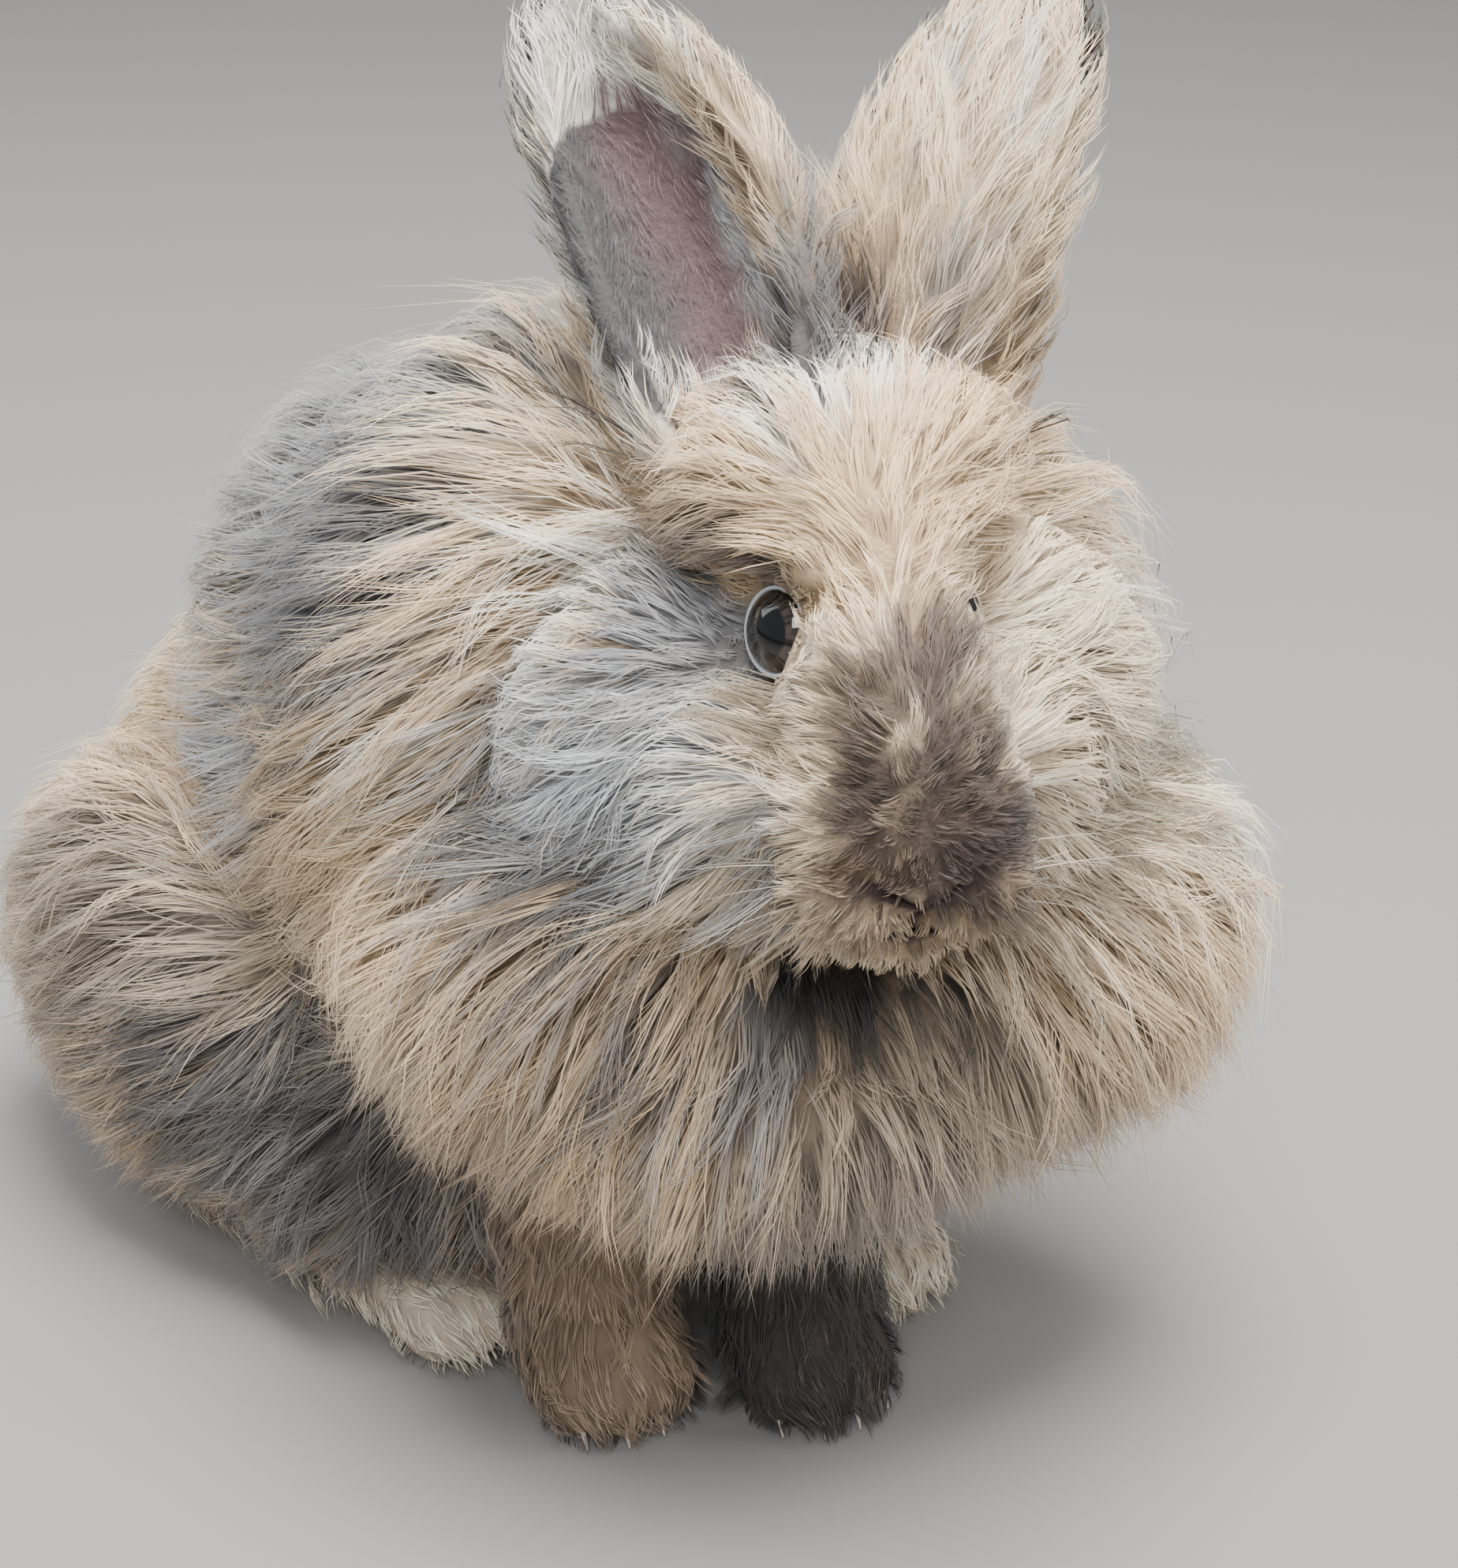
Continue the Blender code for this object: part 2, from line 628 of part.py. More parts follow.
def build():
    for obj in list(bpy.data.objects):
        bpy.data.objects.remove(obj)
    rabbit = bpy.data.collections.new("lionhead_rabbit")
    bpy.context.scene.collection.children.link(rabbit)

    frame = head_frame()
    eyes = [make_eye("eye_right", -1), make_eye("eye_left", 1)]
    head = make_head("head", inset(HEAD_COAT_FORMS, COATS["head"].inset))
    root_right = frame @ Vector((-EAR_ROOT[0], *EAR_ROOT[1:]))
    root_left = frame @ Vector(EAR_ROOT)
    tip_right = frame @ Vector(RIGHT_EAR_TIP)
    tip_left = frame @ Vector(LEFT_EAR_TIP)
    inward = frame.to_3x3() @ Vector((1, 0, 0))
    ears = [
        make_ear("ear_right", root_right, tip_right, Vector((-0.62, -0.78, 0.1)), (125, 62), inward),
        make_ear("ear_left", root_left, tip_left, Vector((0.86, 0.30, 0.1)), (125, 62), -inward),
    ]
    neck = coat_core("neck", NECK_FORMS, COATS["neck"].inset, 460)
    torso = coat_core("torso", TORSO_FORMS, COATS["torso"].inset, 520)
    right_forms = [mirrored(form, -1) for form in HAUNCH_FORMS]
    haunches = [
        coat_core("haunch_right", right_forms, COATS["haunch"].inset, 190),
        coat_core("haunch_left", HAUNCH_FORMS, COATS["haunch"].inset, 190),
    ]
    tail = coat_core("tail", TAIL_FORMS, COATS["tail"].inset, 90, 0.0022)
    hindfeet = [
        make_hindfoot("hindfoot_right", Vector((-0.031, -0.008, 0)), Vector((-0.036, 0.062, 0))),
        make_hindfoot("hindfoot_left", Vector((0.040, -0.052, 0)), Vector((0.047, 0.018, 0))),
    ]
    forelegs = [
        make_foreleg("foreleg_right", Vector((-0.019, -0.042, 0)), Vector((-0.018, -0.038, 0.075)), -14),
        make_foreleg("foreleg_left", Vector((0.011, -0.065, 0)), Vector((0.014, -0.058, 0.075)), -20),
    ]
    for leg in forelegs + hindfeet:
        cut_level(leg, 0)
    for core in haunches + [torso, tail]:
        cut_level(core, FLOOR_CLEARANCE)

    settled = []
    for node in eyes + [head] + ears + [neck] + haunches + [torso, tail] + forelegs + hindfeet:
        clear_of(node, settled, CORE_GAP)
        settled.append(node)

    coated = {head: head_allows, neck: neck_allows, torso: torso_allows}
    coated.update({haunch: haunch_allows for haunch in haunches})
    coated[tail] = tail_allows
    cores = surface_tree(coated)
    for node, allowed in coated.items():
        coat = COATS[node.name.split("_")[0]]
        others = [other for other in settled if other is not node]
        grow_locks(node, coat, allowed, cores, others)

    low = Vector(min(corners(node)[0][axis] for node in settled) for axis in range(3))
    high = Vector(max(corners(node)[1][axis] for node in settled) for axis in range(3))
    shift = Matrix.Translation((-(low.x + high.x) / 2, -(low.y + high.y) / 2, 0))
    colours = {"torso": BLUE_GREY, "tail": BLUE_GREY, "neck": FAWN, "head": CREAM, "foreleg_left": SOOT}
    for node in settled:
        node.data.transform(shift)
        node.data.shade_smooth()
        node.data.set_sharp_from_angle(angle=math.radians(40))
        if node in eyes:
            paint(node, DARK_EYE, EYE_ROUGHNESS)
        else:
            paint(node, colours.get(node.name, FAWN))
        bpy.context.scene.collection.objects.unlink(node)
        rabbit.objects.link(node)


if __name__ == "__main__":
    build()
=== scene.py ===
"""A lionhead rabbit's looks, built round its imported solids: skin, coat, eyes, claws and a pale studio.

Sizes are in metres. The rabbit's own frame has its left at +X, its nose at -Y and +Z up, with the
floor at z = 0. The coat is solid mesh: thin closed strands that follow the lie of the hair in locks.
"""

import math
from collections import namedtuple

import bmesh
import bpy
import numpy as np
from bpy.props import FloatProperty, FloatVectorProperty, IntProperty, PointerProperty
from mathutils import Matrix, Vector
from mathutils.bvhtree import BVHTree
from mathutils.kdtree import KDTree


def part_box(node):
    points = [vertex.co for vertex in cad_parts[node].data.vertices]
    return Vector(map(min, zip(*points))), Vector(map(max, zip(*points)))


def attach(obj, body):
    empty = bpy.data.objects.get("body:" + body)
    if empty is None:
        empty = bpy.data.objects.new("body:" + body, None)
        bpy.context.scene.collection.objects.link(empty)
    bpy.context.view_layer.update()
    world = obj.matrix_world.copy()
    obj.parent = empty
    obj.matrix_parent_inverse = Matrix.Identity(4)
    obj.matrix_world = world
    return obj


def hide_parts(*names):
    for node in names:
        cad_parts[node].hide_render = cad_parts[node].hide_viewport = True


bl_info = {
    "name": "Lionhead Rabbit",
    "version": (1, 0, 0),
    "blender": (4, 5, 0),
    "location": "3D View > Sidebar > Rabbit",
    "description": "Builds the coat, skin, eyes and claws of a life-size lionhead rabbit",
    "category": "Object",
}

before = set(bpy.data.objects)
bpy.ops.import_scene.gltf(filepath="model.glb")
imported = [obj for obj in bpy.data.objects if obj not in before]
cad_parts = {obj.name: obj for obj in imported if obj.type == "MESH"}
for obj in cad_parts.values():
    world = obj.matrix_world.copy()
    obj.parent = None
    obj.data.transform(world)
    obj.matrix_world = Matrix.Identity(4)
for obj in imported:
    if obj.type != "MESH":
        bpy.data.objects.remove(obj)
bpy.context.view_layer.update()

SEED = 11
HEAD = Vector((0.001, -0.088, 0.1676))
HEAD_TURN = -28
EYE_RADIUS = 0.0080
EYE_SIDE = 0.0104
EYE_FACING = Vector((0.87, -0.40, 0.28)).normalized()
LID_RADIUS = 0.0066
LID_THICKNESS = 0.00036
LID_FORWARD = 0.0047

# One ellipsoid: its middle, its radii, its turn about Z and then its tilt nose down, in degrees
Form = namedtuple("Form", "middle radii turn tilt", defaults=(0, 0))

TORSO_FORMS = [
    Form((0.000, -0.012, 0.116), (0.054, 0.053, 0.083)),
    Form((0.000, 0.023, 0.099), (0.048, 0.052, 0.081)),
    Form((0.000, 0.058, 0.064), (0.048, 0.053, 0.059)),
    Form((0.000, 0.010, 0.050), (0.054, 0.070, 0.046)),
]
NECK_FORMS = [
    Form((0.020, -0.047, 0.138), (0.071, 0.042, 0.057), HEAD_TURN),
    Form((0.013, -0.064, 0.096), (0.082, 0.050, 0.057), -32),
    Form((-0.002, -0.070, 0.080), (0.054, 0.042, 0.041), -35),
]
HAUNCH_FORMS = [
    Form((0.040, 0.054, 0.052), (0.029, 0.054, 0.048)),
    Form((0.038, 0.014, 0.036), (0.022, 0.036, 0.030)),
    Form((-0.040, 0.054, 0.052), (0.029, 0.054, 0.048)),
    Form((-0.038, 0.014, 0.036), (0.022, 0.036, 0.030)),
]
TAIL_FORMS = [
    Form((0.000, 0.106, 0.044), (0.019, 0.019, 0.022)),
    Form((0.000, 0.119, 0.038), (0.020, 0.018, 0.024)),
]


def both_sides(x, y, z, *radii):
    """The same form on the left and on the right."""
    return [Form((side * x, y, z), radii) for side in (1, -1)]


# The head's own frame: x to its left, -y ahead, z up, from the point between the eyes
FACE_FORMS = [
    Form((0.0, 0.014, 0.005), (0.0175, 0.029, 0.026)),
    Form((0.0, -0.011, -0.008), (0.0168, 0.027, 0.0185), 0, 40),
    Form((0.0, -0.021, -0.021), (0.0195, 0.0150, 0.0150), 0, 40),
    Form((0.0, -0.0315, -0.0275), (0.0070, 0.0055, 0.0065), 0, 40),
    Form((0.0, -0.014, -0.036), (0.0150, 0.0160, 0.0110), 0, 30),
    *both_sides(0.0085, -0.0255, -0.0310, 0.0110, 0.0100, 0.0098),
    *both_sides(0.0175, 0.003, -0.026, 0.0180, 0.0200, 0.0185),
    *both_sides(0.0220, 0.018, -0.022, 0.0280, 0.0200, 0.0270),
    Form((0.0, 0.000, -0.042), (0.0260, 0.0150, 0.0150), 0, 20),
    *both_sides(0.0095, 0.002, 0.0125, 0.0065, 0.0140, 0.0060),
]
HEAD_COAT_FORMS = [
    Form((0.0, 0.014, 0.017), (0.028, 0.026, 0.020)),
    Form((0.0, 0.020, -0.008), (0.032, 0.024, 0.030)),
]
# How far the skin lies under the outline of the coat
INSETS = {"torso": 0.0100, "neck": 0.0130, "haunch": 0.0080, "tail": 0.0050, "face": 0.0016, "crown": 0.0060}
LIMBS = ("foreleg_right", "foreleg_left", "hindfoot_right", "hindfoot_left")
EARS = ("ear_right", "ear_left")
FLESH = ("head", "neck", "torso", "haunch_right", "haunch_left", "tail", *EARS, *LIMBS)

EAR_TIPS = {"ear_right": (-0.033, 0.063, 0.080), "ear_left": (0.042, 0.049, 0.081)}
EAR_ROOTS = {"ear_right": (-0.0115, 0.027, 0.018), "ear_left": (0.0115, 0.027, 0.018)}
EAR_OPENINGS = {"ear_right": (-0.62, -0.78, 0.10), "ear_left": (0.86, 0.30, 0.10)}
# The bare part of the ear's cup, as shares of the way from its root to its tip
CUP_SPAN = (0.06, 0.77)
CUP_HALF_WIDTH = 0.0145
LIMB_HEADINGS = {"foreleg_right": -14, "foreleg_left": -20, "hindfoot_right": 4, "hindfoot_left": -6}
# The colour of each limb's coat; the right foreleg's tan is partly painted shade
LIMB_TONES = {
    "foreleg_left": "charcoal", "foreleg_right": "tan", "hindfoot_right": "cream", "hindfoot_left": "cream",
}

# Where the hair parts on the face, and how far from there it lies in a fan
PARTING = Vector((0.0, -0.046, -0.022))
FAN_REACH = 0.130
NOSE = Vector((0.0, -0.037, -0.026))
# The hollow under the chin, where the hair is short, which keeps the painted shadow under the chin small
THROAT = Vector((-0.009, -0.098, 0.109))
# Skin that faces down more steeply than this lets its hair hang
UNDERSIDE = -0.35

# How the hair of a region grows: its length and height over the skin, a strand's width, strands on a
# square millimetre, how far its locks draw together, and a strand's rings, its tip among them
Growth = namedtuple("Growth", "length height width density clump rings")
GROWTH = {
    "face": Growth(0.0100, 0.0034, 0.00024, 2.30, 0.45, 3),
    "crown": Growth(0.0230, 0.0085, 0.00024, 1.70, 0.55, 4),
    "neck": Growth(0.0430, 0.0130, 0.00027, 0.98, 0.62, 4),
    "torso": Growth(0.0330, 0.0100, 0.00029, 0.60, 0.56, 4),
    "haunch": Growth(0.0330, 0.0090, 0.00029, 0.66, 0.56, 4),
    "tail": Growth(0.0200, 0.0060, 0.00027, 0.90, 0.50, 4),
    "ear": Growth(0.0140, 0.0040, 0.00025, 1.10, 0.50, 3),
    "cup": Growth(0.0042, 0.0009, 0.00020, 0.80, 0.30, 3),
    "limb": Growth(0.0085, 0.0020, 0.00028, 0.75, 0.45, 3),
}
# A coat piece has fewer triangles than this
PIECE_LIMIT = 190000


def clean(name):
    return name.replace("_", " ")


class RabbitSizes(bpy.types.PropertyGroup):
    thickness: FloatProperty(
        name="Strand thickness", description="A strand's width against its usual one",
        default=1.0, min=0.2, max=4.0,
    )
    fullness: FloatProperty(
        name="Fullness", description="How many strands grow against the usual count",
        default=1.0, min=0.05, max=2.0,
    )
    length: FloatProperty(
        name="Coat length", description="The length of the coat against its usual one",
        default=1.0, min=0.2, max=2.0,
    )
    wildness: FloatProperty(
        name="Stray hairs", description="The share of strands that leave their lock",
        default=0.07, min=0.0, max=1.0, subtype="FACTOR",
    )
    skin_voxel: FloatProperty(
        name="Skin detail", description="The size of the skin's smallest detail",
        default=0.0014, min=0.0008, max=0.005, unit="LENGTH",
    )
    whisker_length: FloatProperty(
        name="Whisker length", description="The length of the longest whisker",
        default=0.034, min=0.0, max=0.1, unit="LENGTH",
    )
    whiskers: IntProperty(
        name="Whiskers", description="Whiskers on each side of the muzzle", default=11, min=0, max=40,
    )


def colour_property(name, description, srgb):
    linear = tuple((part / 255) ** 2.2 for part in srgb)
    return FloatVectorProperty(
        name=name, description=description, default=linear, size=3, min=0, max=1, subtype="COLOR",
    )


class RabbitColours(bpy.types.PropertyGroup):
    white: colour_property("White", "The tips of the crown, the mane and the ear", (250, 243, 231))
    cream: colour_property("Cream", "The palest fawn, of the cheeks and the hind feet", (242, 226, 200))
    fawn: colour_property("Fawn", "The warm colour of the mane and the shoulder", (226, 194, 154))
    # Partly painted shade: the tan is darker than the right foreleg's own colour, for the dim light by the
    # floor where the leg stands
    tan: colour_property("Tan", "The brownish fawn of the muzzle and the right foreleg", (140, 120, 99))
    chest: colour_property("Chest", "The greyish beige of the chest and the lower mane", (170, 154, 137))
    blue_grey: colour_property("Blue grey", "The saddle and the side of the face", (140, 141, 144))
    pale_grey: colour_property("Pale grey", "The bluish white streaks", (206, 209, 212))
    dark_grey: colour_property("Dark grey", "The undercoat and the darkest streaks", (98, 98, 101))
    nose_brown: colour_property("Nose brown", "The mottled bridge of the nose", (80, 68, 60))
    charcoal: colour_property("Charcoal", "The left foreleg", (40, 40, 43))
    ear_skin: colour_property("Ear skin", "The bare cup of the ear", (124, 102, 104))
    # Painted shade: the dark inside the slits of the nostrils, the cleft and the mouth
    crease: colour_property("Crease", "The nostrils, the cleft and the mouth", (58, 44, 42))
    claw: colour_property("Claw", "The horn of the claws", (196, 182, 164))


def chosen():
    return bpy.context.scene.rabbit_sizes


def colour(name):
    return np.array(getattr(bpy.context.scene.rabbit_colours, name))


# Places


def head_frame():
    return Matrix.Translation(HEAD) @ Matrix.Rotation(math.radians(HEAD_TURN), 4, "Z")


def eye_middle(side):
    return head_frame() @ Vector((side * EYE_SIDE, 0, 0))


def eye_facing(side):
    return head_frame().to_3x3() @ Vector((side * EYE_FACING.x, EYE_FACING.y, EYE_FACING.z))


def frame_shift():
    """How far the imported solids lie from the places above, read from the right eye."""
    low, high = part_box("eye_right")
    return (low + high) / 2 - eye_middle(-1)


SHIFT = frame_shift()


def place(form, inset=0.0):
    """Returns the matrix that carries a unit ball to a form."""
    turn = Matrix.Rotation(math.radians(form.turn), 4, "Z")
    tilt = Matrix.Rotation(math.radians(form.tilt), 4, "X")
    radii = [radius - inset for radius in form.radii]
    return Matrix.Translation(form.middle) @ turn @ tilt @ Matrix.Diagonal((*radii, 1))


def form_groups(depth=1.0):
    """Each region's ellipsoids as matrices, at the skin, or at the coat's tips for a depth of 0."""
    on_body = {"torso": TORSO_FORMS, "neck": NECK_FORMS, "haunch": HAUNCH_FORMS, "tail": TAIL_FORMS}
    on_head = {"face": FACE_FORMS, "crown": HEAD_COAT_FORMS}
    return {
        name: [carrier @ place(form, INSETS[name] * depth) for form in forms]
        for carrier, regions in ((Matrix(), on_body), (head_frame(), on_head))
        for name, forms in regions.items()
    }


def facing_along(direction):
    """The turn that points a shape's own Z along a direction."""
    return direction.to_track_quat("Z", "Y").to_matrix().to_4x4()


def link(obj):
    bpy.context.scene.collection.objects.link(obj)
    return obj


def mesh_object(name, bm):
    mesh = bpy.data.meshes.new(name)
    bm.to_mesh(mesh)
    bm.free()
    return link(bpy.data.objects.new(name, mesh))


def apply_modifiers(obj):
    graph = bpy.context.evaluated_depsgraph_get()
    mesh = bpy.data.meshes.new_from_object(obj.evaluated_get(graph))
    obj.modifiers.clear()
    obj.data = mesh


def finish_piece(obj, slot, material, *nodes):
    """Shades a piece, hangs it on the root and hides the solids that it stands for."""
    obj.data.materials.clear()
    obj.data.materials.append(material)
    obj.data.shade_smooth()
    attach(obj, "root")
    if nodes:
        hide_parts(*nodes)


# Shader maths


class Socket:
    """A number in a material, on which a product adds a Math node."""

    def __init__(self, board, socket):
        self.board = board
        self.socket = socket

    def __mul__(self, other):
        return self.board.add("ShaderNodeMath", {"operation": "MULTIPLY"}, (self, other))

    __rmul__ = __mul__


class Board:
    """A material's nodes, added in the order that an expression needs them."""

    def __init__(self, name, **settings):
        self.material = bpy.data.materials.new(name)
        self.material.use_nodes = True
        self.tree = self.material.node_tree
        self.surface = self.tree.nodes["Principled BSDF"]
        for socket, value in settings.items():
            self.surface.inputs[clean(socket)].default_value = value

    def add(self, kind, settings, values=(), output=0):
        """Adds a node of a type, with its settings and the values or links of its sockets."""
        node = self.tree.nodes.new(kind)
        for setting, value in settings.items():
            setattr(node, setting, value)
        pairs = values.items() if isinstance(values, dict) else enumerate(values)
        for key, value in pairs:
            self.feed(node.inputs[key], value)
        return Socket(self, node.outputs[output])

    def feed(self, target, value):
        if isinstance(value, Socket):
            self.tree.links.new(value.socket, target)
        else:
            target.default_value = value

    def attribute(self, name, output="Color"):
        return self.add("ShaderNodeAttribute", {"attribute_name": name}, (), output)

    def noise(self, scale, detail=2.0):
        place = self.add("ShaderNodeTexCoord", {}, (), "Object")
        return self.add("ShaderNodeTexNoise", {}, {"Vector": place, "Scale": scale, "Detail": detail}, "Fac")

    def mix(self, share, one, other):
        return self.add("ShaderNodeMix", {"data_type": "RGBA"}, {0: share, 6: one, 7: other}, 2)

    def ramp(self, value, low, high):
        limits = {"Value": value, "From Min": low, "From Max": high}
        return self.add("ShaderNodeMapRange", {"interpolation_type": "SMOOTHSTEP"}, limits, "Result")

    def paint(self, **sockets):
        for name, value in sockets.items():
            self.feed(self.surface.inputs[clean(name)], value)
        return self.material


def hair_material():
    """Dull soft hair that takes its colour from each strand."""
    finish = {"Specular_IOR_Level": 0.28, "Sheen_Weight": 0.18, "Sheen_Roughness": 0.5}
    board = Board("coat_hair", Roughness=0.72, **finish)
    tone = board.attribute("coat_colour")
    shade = board.ramp(board.noise(2600, 1.0), 0.25, 0.75) * 0.16
    return board.paint(Base_Color=board.mix(shade, tone, (0.10, 0.09, 0.085, 1)))


def skin_material():
    board = Board("skin_and_underfur", Roughness=0.85, Specular_IOR_Level=0.2)
    tone = board.attribute("coat_colour")
    fuzz = board.noise(1500, 3.0)
    bump = board.add("ShaderNodeBump", {}, {"Strength": 0.5, "Distance": 0.0006, "Height": fuzz})
    return board.paint(Base_Color=board.mix(fuzz * 0.35, tone, (0.16, 0.13, 0.12, 1)), Normal=bump)


def eye_material():
    """A dark pupil in a brown iris, with a pale ring at the rim, under a wet clear coat."""
    board = Board("eye_wet", Roughness=0.08, Coat_Weight=1.0, Coat_Roughness=0.01, Specular_IOR_Level=0.2)
    off_axis = board.attribute("off_axis", "Fac")
    around = board.attribute("around", "Fac")
    spokes = board.add("ShaderNodeCombineXYZ", {}, (around * 26, off_axis * 2.5, 0.0))
    flecks = {"Vector": spokes, "Scale": 1.0, "Detail": 3.0}
    rays = board.add("ShaderNodeTexNoise", {"noise_dimensions": "2D"}, flecks, "Fac")
    iris = board.mix(board.ramp(rays, 0.35, 0.7), (0.014, 0.010, 0.009, 1), (0.055, 0.040, 0.034, 1))
    pupil = board.mix(board.ramp(off_axis, 0.56, 0.62), (0.002, 0.002, 0.003, 1), iris)
    limbus = board.mix(board.ramp(off_axis, 0.82, 0.90), pupil, (0.008, 0.007, 0.008, 1))
    whole = board.mix(board.ramp(off_axis, 0.95, 1.0), limbus, (0.55, 0.60, 0.70, 1))
    return board.paint(Base_Color=whole)


def plain_material(name, tone, roughness, **settings):
    return Board(name, Roughness=roughness, **settings).paint(Base_Color=(*tone, 1))


# The skin


def build_skin():
    """Melts the body, the ears and the limbs into one closed skin, with eye sockets, nostrils and mouth."""
    bm = bmesh.new()
    for matrices in form_groups().values():
        for matrix in matrices:
            ball = Matrix.Translation(SHIFT) @ matrix
            bmesh.ops.create_icosphere(bm, subdivisions=5, radius=1, matrix=ball)
    for name in EARS + LIMBS:
        copy = bmesh.new()
        copy.from_mesh(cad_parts[name].data)
        bmesh.ops.remove_doubles(copy, verts=copy.verts, dist=1e-6)
        spare = bpy.data.meshes.new("spare")
        copy.to_mesh(spare)
        copy.free()
        bm.from_mesh(spare)
        bpy.data.meshes.remove(spare)
    skin = mesh_object("skin", bm)
    remesh = skin.modifiers.new("remesh", "REMESH")
    remesh.mode = "VOXEL"
    remesh.voxel_size = chosen().skin_voxel
    smooth = skin.modifiers.new("smooth", "SMOOTH")
    smooth.factor = 0.5
    smooth.iterations = 7
    apply_modifiers(skin)
    carve_face(skin)
    unwrap(skin)
    return skin


def carve_face(skin):
    """Cuts the eye sockets, the nostrils, the cleft and the mouth."""
    head = Matrix.Translation(SHIFT) @ head_frame()
    bm = bmesh.new()
    for form in CREASES:
        bmesh.ops.create_icosphere(bm, subdivisions=3, radius=1, matrix=head @ slanted(form))
    for side in (-1, 1):
        socket = Matrix.Translation(eye_middle(side) + SHIFT)
        bmesh.ops.create_icosphere(bm, subdivisions=5, radius=EYE_RADIUS + 0.0001, matrix=socket)
    cutter = mesh_object("cutter", bm)
    boolean = skin.modifiers.new("carve", "BOOLEAN")
    boolean.operation = "DIFFERENCE"
    boolean.solver = "MANIFOLD"
    boolean.object = cutter
    apply_modifiers(skin)
    bpy.data.objects.remove(cutter)


def unwrap(skin):
    """Opens the skin's own shape flat, which places each strand's patch on the unwrap."""
    bpy.ops.object.select_all(action="DESELECT")
    bpy.context.view_layer.objects.active = skin
    skin.select_set(True)
    skin.data.uv_layers.new(name="OFBake")
    bpy.ops.object.mode_set(mode="EDIT")
    bpy.ops.mesh.select_all(action="SELECT")
    bpy.ops.uv.smart_project(angle_limit=math.radians(66), island_margin=0.002)
    bpy.ops.object.mode_set(mode="OBJECT")


# The lie of the hair and its markings


def unit(rows):
    lengths = np.linalg.norm(rows, axis=-1, keepdims=True)
    return rows / np.maximum(lengths, 1e-12)


def smoothstep(value, low, high):
    share = np.clip((value - low) / (high - low), 0, 1)
    return share * share * (3 - 2 * share)


def blend(one, other, share):
    """Goes from one set of rows to another by a share at each row."""
    share = share[:, None]
    return one * (1 - share) + other * share


def gap_to(matrices, points):
    """How far points lie outside the nearest of some ellipsoids, about."""
    gaps = [
        (np.linalg.norm(into(matrix, points), axis=1) - 1) * min(matrix.to_scale())
        for matrix in matrices
    ]
    return np.min(gaps, axis=0)


def outside(points):
    """How far points lie outside the outline that the coat's tips keep to."""
    return gap_to([matrix for forms in form_groups(0.0).values() for matrix in forms], points)


def distance(points, place):
    return np.linalg.norm(points - np.array(place), axis=1)


def ripple(points, size, seed):
    """A smooth random field between about -1 and 1, whose patches have a size."""
    rng = np.random.default_rng(seed)
    total = np.zeros(len(points))
    waves = 9
    for _ in range(waves):
        direction = unit(rng.normal(size=3))
        pitch = 2 * math.pi / (size * rng.uniform(0.7, 1.8))
        total += np.sin(points @ direction * pitch + rng.uniform(0, 2 * math.pi))
    return total / math.sqrt(waves)


def into(matrix, points):
    """Carries an array of points by the inverse of a matrix."""
    inverse = np.array(matrix.inverted())
    return points @ inverse[:3, :3].T + inverse[:3, 3]


def lie_at(points):
    """The way the hair lies: away from the face in a fan, then back and down over the body."""
    away = points - np.array(head_frame() @ PARTING)
    reach = np.linalg.norm(away, axis=1)
    fan = np.clip(1.25 - reach / FAN_REACH, 0, 1)[:, None]
    back = np.clip((points[:, 1] + 0.070) / 0.090, 0.05, 1)
    down = 0.30 + 0.75 * (1 - np.clip(points[:, 2] / 0.190, None, 1)) + 0.6 * (1 - back)
    body = unit(np.stack([points[:, 0] * 2.5, back, -down], 1))
    drop = np.zeros_like(points)
    drop[:, 2] = -0.45 * fan[:, 0]
    return unit(unit(away) * fan + body * (1 - fan) + drop)
